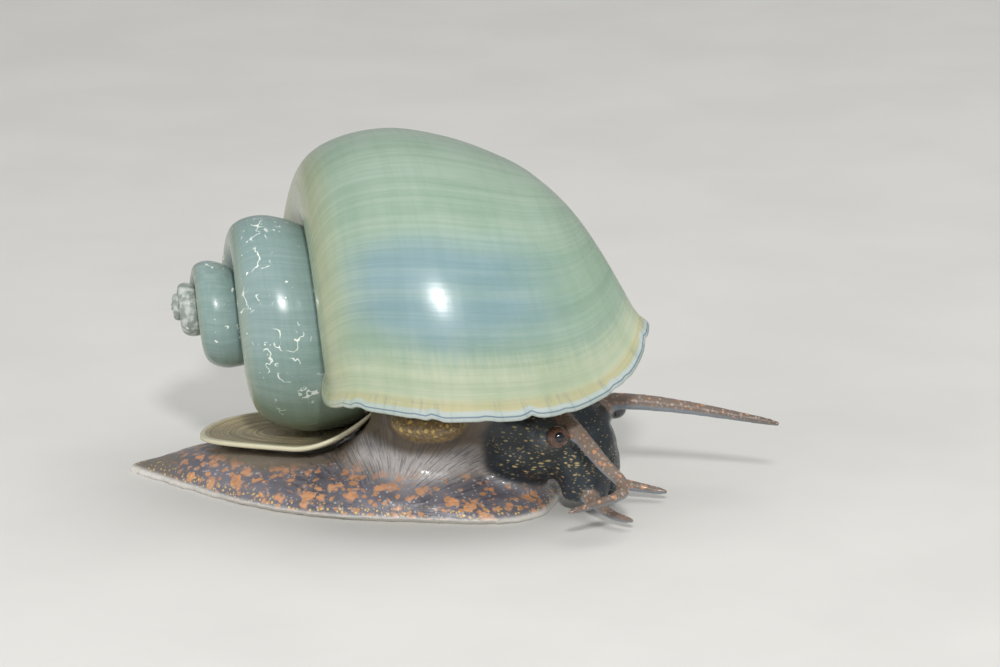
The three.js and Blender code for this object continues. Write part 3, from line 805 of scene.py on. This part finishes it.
def joined_flesh(points, faces, voxel):
    """The parts joined into one closed surface on a fine grid, as points and quads in metres."""
    scale = 100.0  # the remesher's smallest voxel is too coarse for a snail at its own size
    mesh = bpy.data.meshes.new("flesh_parts")
    mesh.from_pydata([p * scale for p in points], [], faces)
    lump = add_object("flesh_parts", mesh)
    remesh = lump.modifiers.new("Remesh", "REMESH")
    remesh.mode = "VOXEL"
    remesh.voxel_size = voxel * scale
    joined = result_of(lump)
    bpy.data.objects.remove(lump)
    whole = bmesh.new()
    whole.from_mesh(joined)
    keep_largest(whole)
    found = [tuple(corner.co / scale) for corner in whole.verts]
    quads = [[corner.index for corner in face.verts] for face in whole.faces]
    whole.free()
    return np.array(found), quads


def keep_largest(whole):
    """Removes every loose surface but the largest."""
    whole.verts.ensure_lookup_table()
    unseen = set(whole.verts)
    islands = []
    while unseen:
        front = [unseen.pop()]
        island = list(front)
        while front:
            corner = front.pop()
            for edge in corner.link_edges:
                other = edge.other_vert(corner)
                if other in unseen:
                    unseen.discard(other)
                    front.append(other)
                    island.append(other)
        islands.append(island)
    islands.sort(key=len, reverse=True)
    for island in islands[1:]:
        bmesh.ops.delete(whole, geom=island, context="VERTS")
    whole.verts.index_update()


class Links:
    """Which points of a mesh are neighbours, to smooth values over it."""

    def __init__(self, mesh):
        pairs = np.empty(len(mesh.edges) * 2, np.int64)
        mesh.edges.foreach_get("vertices", pairs)
        self.first, self.second = pairs[::2], pairs[1::2]
        self.count = len(mesh.vertices)
        self.degree = np.bincount(pairs, minlength=self.count).astype(float)

    def average(self, values):
        there = np.bincount(self.first, values[self.second], self.count)
        back = np.bincount(self.second, values[self.first], self.count)
        return (there + back) / self.degree

    def smooth(self, values, rounds):
        """Moves each value halfway to its neighbours' in every round."""
        for _ in range(rounds):
            values = values + 0.5 * (self.average(values) - values)
        return values

    def smooth_points(self, points, rounds, loose):
        """Does the same to places, where loose is one, and less where it is smaller."""
        for _ in range(rounds):
            pull = np.column_stack([self.average(points[:, k]) for k in range(3)]) - points
            points = points + 0.5 * loose[:, None] * pull
        return points


def normals_of(mesh):
    return rows_of(mesh.vertex_normals, "vector")


def near_any(points, places, reach):
    """One at these places, easing to nothing at the reach."""
    gaps = [np.linalg.norm(points - np.array(place) * MM, axis=1) for place in places]
    return smoothstep(np.min(gaps, axis=0), reach * MM, reach * 0.5 * MM)


def foot_edge(points):
    """How far inside the foot's outline in plan each point is, in metres."""
    plan = np.array(FOOT_PLAN) * MM
    half = np.interp(points[:, 0], plan[:, 0], plan[:, 1], left=0, right=0)
    side = half - np.abs(points[:, 1])
    return np.minimum(side, plan[-1, 0] - points[:, 0] + 0.4 * MM)


def along_feelers(points):
    """Share along the nearest tentacle, from root to tip."""
    best = np.full(len(points), 1e9)
    found = np.zeros(len(points))
    for path in TENTACLES:
        path = np.array(path) * MM
        steps = np.linalg.norm(np.diff(path, axis=0), axis=1)
        walked = np.concatenate([[0], np.cumsum(steps)])
        for i, (start, end) in enumerate(zip(path, path[1:])):
            share = np.clip((points - start) @ (end - start) / steps[i] ** 2, 0, 1)
            gap = np.linalg.norm(points - (start + share[:, None] * (end - start)), axis=1)
            nearer = gap < best
            best = np.where(nearer, gap, best)
            found = np.where(nearer, (walked[i] + share * steps[i]) / walked[-1], found)
    return found


def thin_flesh(points, regions):
    """How much of the smoothing each point is spared, so that fine forms last."""
    thin = np.clip(regions["feeler"] * 0.9 + regions["stalk"] * 0.75, 0, 0.94)
    rim = regions["foot"] * smoothstep(foot_edge(points), 2.0 * MM, 1.2 * MM)
    rim = rim * smoothstep(points[:, 2], 1.6 * MM, 1.0 * MM)
    fine = np.max([rim, near_any(points, [MOUTH], 2.4), near_any(points, SIPHON, 3.2)], axis=0)
    return np.maximum(thin, fine * 0.9)


def flatten_sole(points):
    low = points[:, 2] < SOLE_HEIGHT * MM
    points[low, 2] = 0
    points[:, 2] = np.maximum(points[:, 2], 0)
    return points


def shape_margin(points, normals, foot):
    """Draws the sole's edge out into a thin, slightly frilled rim."""
    height = points[:, 2] / MM
    flat = normals * [1, 1, 0]
    flat /= np.maximum(np.linalg.norm(flat, axis=1), 1e-6)[:, None]
    x, y = points[:, 0] / MM, points[:, 1] / MM
    frill = FRILL + 0.07 * np.sin(x * 1.9 + 0.6) + 0.05 * np.sin(x * 4.3 + y * 0.7) + 0.03 * np.sin(x * 9.1)
    sideways = smoothstep(np.abs(normals[:, 2]), 0.98, 0.7)
    push = frill * smoothstep(height, MARGIN_HEIGHT, 0.1) * foot * sideways
    return points + flat * (push * MM)[:, None]


def roughen(points, normals, share):
    """Gives soft flesh its low lumps and wrinkles."""
    elsewhere = Vector((7, 3, 1))
    lumps = np.array([noise.noise(Vector(p) / (LUMPS[0] * MM)) for p in points])
    wrinkles = np.array([noise.noise(Vector(p) / (WRINKLES[0] * MM) + elsewhere) for p in points])
    return points + normals * ((lumps * LUMPS[1] + wrinkles * WRINKLES[1]) * share * MM)[:, None]


def carve_mouth(points, normals):
    """The upright line of the mouth, between the two lips."""
    width, height, cut = MOUTH_SLIT
    across = (points[:, 1] / MM - MOUTH[1]) / width
    rise = (points[:, 2] / MM - MOUTH[2]) / height
    front = smoothstep(points[:, 0] / MM, 22.6, 23.4)
    depth = cut * np.exp(-across ** 2) * smoothstep(np.abs(rise), 1.05, 0.7) * front
    return points - normals * (depth * MM)[:, None]


def close_eye_sockets(points, radius):
    """Draws the rim of each eye stalk in round its eyeball."""
    for eye in EYES.values():
        middle = np.array(eye["middle"]) * MM
        away = points - middle
        gap = np.linalg.norm(away, axis=1)
        snug = radius - SOCKET_PRESS * MM + (gap - radius) * 0.35
        share = smoothstep(gap, radius + SOCKET_REACH[0] * MM, radius + SOCKET_REACH[1] * MM)
        goal = middle + away * (snug / gap)[:, None]
        points = points + (goal - points) * share[:, None]
    return points


def skin_markings(mesh, regions):
    """Where each marking lies, as attributes that the skin's material reads."""
    points, normals = rows_of(mesh.vertices, "co"), normals_of(mesh)
    x, _, z = (points / MM).T
    edge = foot_edge(points) / MM
    margin = regions["foot"] * smoothstep(z, MARGIN_HEIGHT, 0.35)
    band = regions["foot"] * smoothstep(z, 1.7, 0.9) * (1 - margin)
    flank = regions["foot"] * smoothstep(edge, 7.5, 5.5) * smoothstep(x, -15.5, -11)
    top = np.interp(x, *zip(*PALE_TOP))
    pale = smoothstep(z, top + 0.5, top - 0.5) * smoothstep(z, top - 3.4, top - 1.4)
    pale = pale * smoothstep(x, 0.5, 4.0) * smoothstep(x, 18.5, 15.5) * (1 - regions["head"])
    fan_x, fan_z = x - FAN_MIDDLE[0], z - FAN_MIDDLE[1]
    values = {
        "neck": regions["neck"], "head": regions["head"] + regions["stalk"],
        "stalk": regions["stalk"], "feeler": regions["feeler"], "mantle": regions["mantle"],
        "lobe": regions["lobe"], "margin": margin, "band": band, "flank": flank, "pale": pale,
        "fan": np.arctan2(fan_z, fan_x), "fan_far": np.hypot(fan_x, fan_z),
        "reach": along_feelers(points), "upward": normals[:, 2],
        "nuchal": near_any(points, NUCHAL_LOBE, 2.2),
        "cheek": near_any(points, CHEEKS, 4.5),
    }
    for name, share in values.items():
        set_attribute(mesh, name, share)


def skin_folds(pen, read):
    """Fine folds that fan out over the flank and neck, both as relief and as painted shade in their creases.
    """
    folds = pen.noise(pen.combine(pen.times(read["fan"], 46.0), pen.times(read["fan_far"], 0.5)), 1.0, 2.0)
    where = pen.times(pen.span(read["fan_far"], 1.5, 3.0), pen.span(read["fan_far"], 11.0, 7.0))
    return pen.times(pen.span(folds, 0.52, 0.62), where)


def foot_blotches(pen, read):
    """Where the foot is spotted, and where its large blotches are."""
    spotted = pen.times(read["flank"], pen.minus(1.0, pen.times(read["pale"], 0.75)))
    mask, _ = pen.dots((0.9, 0.95, 1.1), 0.5, 0.2, 1.1)
    return spotted, pen.times(mask, spotted)


def body_shade(pen, settings, read, folds, spotted, blotches):
    """Grey brown neck, and slate foot with orange blotches, painted shade in the folds, and a pale margin."""
    neck = pen.mix(pen.span(read["coarse"], 0.3, 0.7), settings.neck, toned(settings.neck, 0.7))
    neck = pen.mix(pen.times(read["grain"], 0.25), neck, toned(settings.neck, 1.3))
    shade = pen.mix(pen.span(read["coarse"], 0.35, 0.65), settings.foot, toned(settings.foot, 0.72))
    shade = pen.mix(pen.times(pen.minus(1.0, read["flank"]), 0.9), shade, settings.foot_back)
    shade = pen.mix(read["lobe"], shade, settings.foot_back)
    shade = pen.mix(read["neck"], shade, neck)
    pale = pen.mix(pen.times(read["grain"], 0.4), settings.pale, toned(settings.pale, 0.55))
    shade = pen.mix(pen.times(read["pale"], 0.75), shade, pale)
    # Painted shade: the folds' creases darkened towards near black
    shade = pen.mix(pen.times(folds, 0.55), shade, FOLD_CREASE_SHADE)
    shade = pen.mix(blotches, shade, settings.blotch)
    shade = pen.spots(shade, toned(settings.blotch, 0.8), spotted, (1.5, 1.5, 1.8), 0.42, 0.16, 0.6, 0.4)
    shade = pen.spots(shade, GREY_DOTS, spotted, 3.0, 0.32, 0.15, 0.4, 0.5)
    shade = pen.spots(shade, settings.dots, read["band"], 3.4, 0.36, 0.12, 0.3, 0.4)
    return pen.mix(read["margin"], shade, settings.margin)


def mantle_shade(pen, settings, read):
    """Tan flesh with gold dots, closest on the nuchal lobe."""
    shade = pen.mix(read["grain"], settings.mantle, toned(settings.mantle, 0.55))
    shade = pen.spots(shade, settings.dots, 0.5, 4.2, 0.36, 0.16, 0.3, 0.4)
    return pen.spots(shade, settings.dots, read["nuchal"], 2.6, 0.42, 0.12, 0.3)


def head_shade(pen, settings, read):
    """Nearly black skin with gold dashes, painted shade towards the floor, and paler eye stalks."""
    shade = pen.mix(pen.span(read["coarse"], 0.3, 0.7), settings.head, toned(settings.head, 0.55))
    # Painted shade: the head darkens from 5 mm high down to 2 mm, near the floor
    height = pen.node("ShaderNodeSeparateXYZ", {0: pen.place}).outputs[2]
    shade = pen.mix(pen.times(pen.span(height, 5.0, 2.0), 0.5), shade, HEAD_UNDERSIDE_SHADE)
    shade = pen.mix(pen.times(read["stalk"], 0.55), shade, STALKS)
    shade = pen.spots(shade, settings.dashes, read["cheek"], (1.9, 2.0, 4.3), 0.36, 0.16, 0.3, 0.15)
    return pen.spots(shade, toned(settings.dashes, 0.6), read["head"], (2.6, 2.6, 4.6), 0.28, 0.14, 0.3, 0.45)


def feeler_shade(pen, settings, read):
    """Brown above with dots, grey below, and darker towards the tip."""
    shade = pen.mix(pen.span(read["upward"], 0.1, -0.4), settings.feeler, settings.feeler_under)
    shade = pen.mix(pen.span(read["reach"], 0.45, 1.0, 0.0, 0.6), shade, toned(settings.feeler, 0.5))
    above = pen.span(read["upward"], -0.45, 0.05)
    shade = pen.spots(shade, FEELER_DOTS, above, 3.4, 0.4, 0.2, 0.2, 0.2)
    return pen.spots(shade, toned(settings.blotch, 0.8), above, 2.1, 0.34, 0.16, 0.3, 0.3)


def skin_material(settings):
    """Wet skin, whose regions and markings are read from the mesh."""
    pen = MaterialPen("snail_skin")
    read = {name: pen.attribute(name) for name in SKIN_MARKS}
    fine = pen.noise(pen.place, 3.2, 3.0)
    read["coarse"] = pen.noise(pen.place, 0.35, 3.0)
    read["grain"] = pen.span(fine, 0.3, 0.7)
    folds = skin_folds(pen, read)
    spotted, blotches = foot_blotches(pen, read)
    shade = body_shade(pen, settings, read, folds, spotted, blotches)
    shade = pen.mix(pen.span(read["mantle"], 0.2, 0.8), shade, mantle_shade(pen, settings, read))
    shade = pen.mix(pen.span(read["head"], 0.25, 0.75), shade, head_shade(pen, settings, read))
    shade = pen.mix(pen.span(read["feeler"], 0.25, 0.75), shade, feeler_shade(pen, settings, read))
    relief = pen.plus(pen.times(fine, 0.5), pen.times(pen.noise(pen.place, 6.0, 2.0), 0.35))
    relief = pen.minus(relief, pen.times(folds, 0.6))
    relief = pen.plus(relief, pen.times(blotches, 0.25))
    return pen.surface(shade, pen.times_plus(fine, 0.3, 0.22), (0.25, 0.15), relief)


class SNAIL_OT_skin(bpy.types.Operator):
    """Join the flesh into one smooth skin, and mark where each of its colours lies"""
    bl_idname = "snail.skin"
    bl_label = "Skin"

    def execute(self, context):
        settings = context.scene.snail_skin
        parts, faces, owners = flesh_parts(settings.grow)
        points, quads = joined_flesh(parts, faces, settings.voxel)
        skin = mesh_object("skin", points, quads, skin_material(settings))
        mesh = skin.data
        links = Links(mesh)
        tree = BVHTree.FromPolygons(parts, faces)
        owner = np.array([owners[tree.find_nearest(p)[2]] for p in points])
        sharp = {name: links.smooth((owner == name).astype(float), REGION_ROUNDS) for name in REGIONS}
        loose = 1 - thin_flesh(points, sharp)
        points = links.smooth_points(points, FLESH_ROUNDS, loose)
        blurred = [links.smooth(sharp[name], BLUR_ROUNDS) for name in ("foot", "neck", "head", "lobe")]
        joint = np.max([4 * share * (1 - share) for share in blurred], axis=0)
        points = links.smooth_points(points, JOINT_ROUNDS, joint * loose)
        place_points(mesh, points)
        points = points - normals_of(mesh) * settings.grow
        points = close_eye_sockets(points, context.scene.snail_eyes.radius)
        place_points(mesh, points)
        points = carve_mouth(points, normals_of(mesh))
        points = shape_margin(points, normals_of(mesh), sharp["foot"])
        points = roughen(points, normals_of(mesh), loose * smoothstep(points[:, 2], 0.3 * MM, 1.2 * MM))
        place_points(mesh, flatten_sole(points))
        rounds = {name: SKIN_BLUR.get(name, BLUR_ROUNDS) for name in REGIONS}
        skin_markings(mesh, {name: links.smooth(sharp[name], rounds[name]) for name in REGIONS})
        finish_piece(skin, "foot_skin", *[name for nodes in REGIONS.values() for name in nodes])
        return {"FINISHED"}


# Lid
def lid_height(x, y, dish):
    """The lid's middle height at a place, in millimetres: dished across, and bent up at its front."""
    across = (y - LID["y"]) / LID["half_width"]
    return LID["z"] + dish * across ** 2 + np.maximum(0, x - LID_RISE_FROM) ** 2 * LID_RISE


def lid_clearance(points, room):
    """How far each place of the lid has to sink to stay clear of the shell."""
    shell = bpy.data.objects["shell_coil"].data
    tree = BVHTree.FromPolygons([v.co for v in shell.vertices], [tuple(p.vertices) for p in shell.polygons])
    sink = np.zeros(len(points))
    for i, place in enumerate(points):
        goal = Vector(place)
        for _ in range(SINK_TRIES):
            near, normal, _, _ = tree.find_nearest(goal)
            side = (goal - near).dot(normal)
            if side > room or normal.z > 0:
                break
            goal.z -= max(room - side, SINK_STEP * MM)
        sink[i] = place[2] - goal.z
    return sink


def lid_material(settings):
    """Horn with growth rings round an off-centre nucleus, and a cream rim."""
    pen = MaterialPen("snail_lid")
    ring, half_turn = pen.attribute("ring"), pen.attribute("round")
    rings = pen.noise(pen.combine(pen.times(ring, 34.0), pen.times(half_turn, 1.2)), 1.0, 3.0)
    rays = pen.noise(pen.combine(pen.times(ring, 1.6), pen.times(half_turn, 60.0)), 1.0, 2.0)
    clouds = pen.noise(pen.place, 0.4, 3.0)
    shade = pen.mix(pen.span(rings, 0.35, 0.65), toned(settings.horn, 0.62), toned(settings.horn, 1.35))
    shade = pen.mix(pen.span(rays, 0.4, 0.7, 0.0, 0.3), shade, toned(settings.horn, 0.5))
    shade = pen.mix(pen.span(clouds, 0.4, 0.7, 0.0, 0.4), shade, LID_CLOUDS)
    shade = pen.mix(pen.span(ring, 0.9, 0.965), shade, settings.rim)
    relief = pen.plus(pen.times(rings, 0.8), pen.times(rays, 0.3))
    return pen.surface(shade, pen.times_plus(rings, 0.25, 0.28), relief=relief, depth=0.06)


def lid_faces(count):
    """The lid's top, underside and rim; the underside's points come after the top's."""
    faces = []
    for a, b in side_pairs(range(LID_RINGS - 1), LID_SIDES):
        faces.append((a, a + LID_SIDES, b + LID_SIDES, b))
        faces.append((count + a, count + b, count + b + LID_SIDES, count + a + LID_SIDES))
    for a, b in side_pairs([LID_RINGS - 1], LID_SIDES):
        faces.append((a, count + a, count + b, b))
    faces.append(tuple(range(LID_SIDES)))
    faces.append(tuple(range(count + LID_SIDES - 1, count - 1, -1)))
    return faces


class SNAIL_OT_lid(bpy.types.Operator):
    """Make the horny lid on the back of the foot"""
    bl_idname = "snail.lid"
    bl_label = "Lid"

    def execute(self, context):
        settings = context.scene.snail_lid
        steps = np.arange(1, LID_RINGS + 1) / LID_RINGS
        ring, turn = np.meshgrid(steps, np.arange(LID_SIDES) / LID_SIDES, indexing="ij")
        ring, turn = ring.ravel() ** LID_RING_POWER, turn.ravel()
        out = ring * (1 + LID_WAVE * np.sin(turn * 2 * math.pi * LID_WAVES + 1) * ring ** 6)
        x = LID["x"] + LID["half_length"] * (out * np.cos(2 * math.pi * turn) + (1 - ring) * LID_NUCLEUS[0])
        y = LID["y"] + LID["half_width"] * (out * np.sin(2 * math.pi * turn) + (1 - ring) * LID_NUCLEUS[1])
        half = settings.thickness / MM / 2 * (1 - LID_EDGE_THINNING * smoothstep(ring, 0.97, 1.0))
        ridge = settings.ridge / MM * np.sin(ring * 2 * math.pi * LID_GROWTH_RINGS)
        middle = lid_height(x, y, settings.dish / MM)
        flat = np.column_stack([x, y, middle]) * MM
        middle = middle - lid_clearance(flat, settings.thickness / 2 + LID_GAP * MM) / MM
        top = np.column_stack([x, y, middle + half + ridge])
        bottom = np.column_stack([x, y, middle - half - ridge * 0.5])
        points = np.vstack([top, bottom]) * MM
        lid = mesh_object("lid", points, lid_faces(len(top)), lid_material(settings))
        set_attribute(lid.data, "ring", np.tile(ring, 2))
        set_attribute(lid.data, "round", np.tile(np.abs(turn * 2 - 1), 2))
        finish_piece(lid, "operculum", "operculum")
        return {"FINISHED"}


# Eyes
def eye_material(settings):
    """A glossy eye: black pupil in a brown orange ring, dusky behind."""
    pen = MaterialPen("snail_eye")
    frayed = pen.times_plus(pen.minus(pen.noise(pen.place, 3.0), 0.5), 0.12, pen.attribute("polar"))
    mottled = pen.span(pen.noise(pen.place, 5.0, 3.0), 0.35, 0.65)
    ring = pen.mix(mottled, settings.ring, toned(settings.ring, 0.6))
    shade = pen.mix(pen.span(frayed, settings.pupil - 0.04, settings.pupil + 0.08), PUPIL_BLACK, ring)
    shade = pen.mix(pen.span(frayed, 1.15, 1.5), shade, EYE_BACK)
    return pen.surface(shade, 0.12, (0.6, 0.03))


class SNAIL_OT_eyes(bpy.types.Operator):
    """Make the two eyes on the ends of their stalks"""
    bl_idname = "snail.eyes"
    bl_label = "Eyes"

    def execute(self, context):
        settings = context.scene.snail_eyes
        material = eye_material(settings)
        for node, eye in EYES.items():
            ball = bmesh.new()
            bmesh.ops.create_uvsphere(
                ball, u_segments=EYE_SEGMENTS, v_segments=EYE_RINGS, radius=settings.radius)
            polar = [Vector((0, 0, 1)).angle(corner.co) for corner in ball.verts]
            for corner, angle in zip(ball.verts, polar):
                corner.co *= 1 + PUPIL_BULGE * math.exp(-((angle / PUPIL_BULGE_ANGLE) ** 2))
            turn = Vector(eye["gaze"]).to_track_quat("Z", "Y").to_matrix()
            points = [turn @ corner.co + Vector(eye["middle"]) * MM for corner in ball.verts]
            faces = [[corner.index for corner in face.verts] for face in ball.faces]
            ball.free()
            made = mesh_object(node.replace("eye", "eyeball"), points, faces, material)
            set_attribute(made.data, "polar", polar)
            finish_piece(made, "eye", node)
        return {"FINISHED"}


# Stage
def add_floor(settings):
    """A pale floor that curves up into a wall behind."""
    pen = MaterialPen("stage_floor")
    grain = pen.span(pen.noise(pen.place, 0.05, 4.0), 0.3, 0.7)
    material = pen.surface(pen.mix(grain, settings.floor, toned(settings.floor, 0.95)), 0.85)
    profile = [(-FLOOR_HALF_DEPTH, 0.0)]
    for bend in np.linspace(0, math.pi / 2, WALL_CURVE_STEPS):
        forward = WALL_CURVE * math.sin(bend)
        rise = WALL_CURVE - WALL_CURVE * math.cos(bend)
        profile.append((FLOOR_HALF_DEPTH - WALL_CURVE + forward, rise))
    profile.append((FLOOR_HALF_DEPTH, WALL_HEIGHT))
    points = [(x, y, z) for y, z in profile for x in (-FLOOR_HALF_WIDTH, FLOOR_HALF_WIDTH)]
    faces = [(2 * i, 2 * i + 1, 2 * i + 3, 2 * i + 2) for i in range(len(profile) - 1)]
    floor = mesh_object("stage_floor", points, faces, material)


def add_camera(settings, target):
    """The camera, at the photograph's angle."""
    flat = math.cos(settings.elevation)
    back = Vector((
        math.sin(settings.azimuth) * flat, -math.cos(settings.azimuth) * flat, math.sin(settings.elevation)))
    camera = bpy.data.cameras.new("camera")
    camera.sensor_width = SENSOR_WIDTH
    camera.lens = SENSOR_WIDTH * settings.distance / settings.width
    camera.clip_start = NEAREST_SEEN
    made = add_object("camera", camera)
    made.location = target + back * settings.distance
    made.rotation_euler = back.to_track_quat("Z", "Y").to_euler()
    bpy.context.scene.camera = made


def add_lamp(name, target, direction, distance, width, watts, mirrored):
    """A soft round lamp that looks at the snail; gloss mirrors it or not."""
    lamp = bpy.data.lights.new(name, "AREA")
    lamp.energy = watts
    lamp.shape = "DISK"
    lamp.size = width * MM
    made = add_object(name, lamp)
    made.location = target + Vector(direction).normalized() * distance * MM
    made.rotation_euler = (made.location - target).to_track_quat("Z", "Y").to_euler()
    made.visible_glossy = mirrored


class SNAIL_OT_stage(bpy.types.Operator):
    """Set the floor, the soft light and the camera"""
    bl_idname = "snail.stage"
    bl_label = "Stage"

    def execute(self, context):
        settings = context.scene.snail_stage
        target = Vector(CAMERA_TARGET) * MM
        add_floor(settings)
        add_camera(settings, target)
        for name, values in LAMPS.items():
            add_lamp(name, target, *values)
        world = bpy.data.worlds.new("studio")
        world.use_nodes = True
        background = world.node_tree.nodes["Background"].inputs
        background["Color"].default_value = (*STUDIO_COLOUR, 1)
        background["Strength"].default_value = STUDIO_STRENGTH
        context.scene.world = world
        context.scene.view_settings.view_transform = "Standard"
        return {"FINISHED"}


class SNAIL_PT_panel(bpy.types.Panel):
    """Buttons and sizes of the snail"""
    bl_idname = "SNAIL_PT_panel"
    bl_label = "Apple snail"
    bl_space_type = "VIEW_3D"
    bl_region_type = "UI"
    bl_category = "Snail"

    def draw(self, context):
        for operator, settings in STEPS:
            box = self.layout.box()
            box.operator(operator.bl_idname)
            group = getattr(context.scene, settings)
            for name in group.bl_rna.properties.keys():
                if name not in ("rna_type", "name"):
                    box.prop(group, name)


SETTINGS = {
    "snail_shell": ShellSettings, "snail_skin": SkinSettings, "snail_lid": LidSettings,
    "snail_eyes": EyeSettings, "snail_stage": StageSettings,
}
STEPS = [
    (SNAIL_OT_shell, "snail_shell"), (SNAIL_OT_lid, "snail_lid"), (SNAIL_OT_skin, "snail_skin"),
    (SNAIL_OT_eyes, "snail_eyes"), (SNAIL_OT_stage, "snail_stage"),
]
CLASSES = [*SETTINGS.values(), *[operator for operator, _ in STEPS], SNAIL_PT_panel]


def register():
    for made in CLASSES:
        bpy.utils.register_class(made)
    for name, group in SETTINGS.items():
        setattr(bpy.types.Scene, name, PointerProperty(type=group))


def unregister():
    for name in SETTINGS:
        delattr(bpy.types.Scene, name)
    for made in reversed(CLASSES):
        bpy.utils.unregister_class(made)


def main():
    register()
    bpy.ops.snail.shell()
    bpy.ops.snail.lid()
    bpy.ops.snail.skin()
    bpy.ops.snail.eyes()
    bpy.ops.snail.stage()


if __name__ == "__main__":
    main()
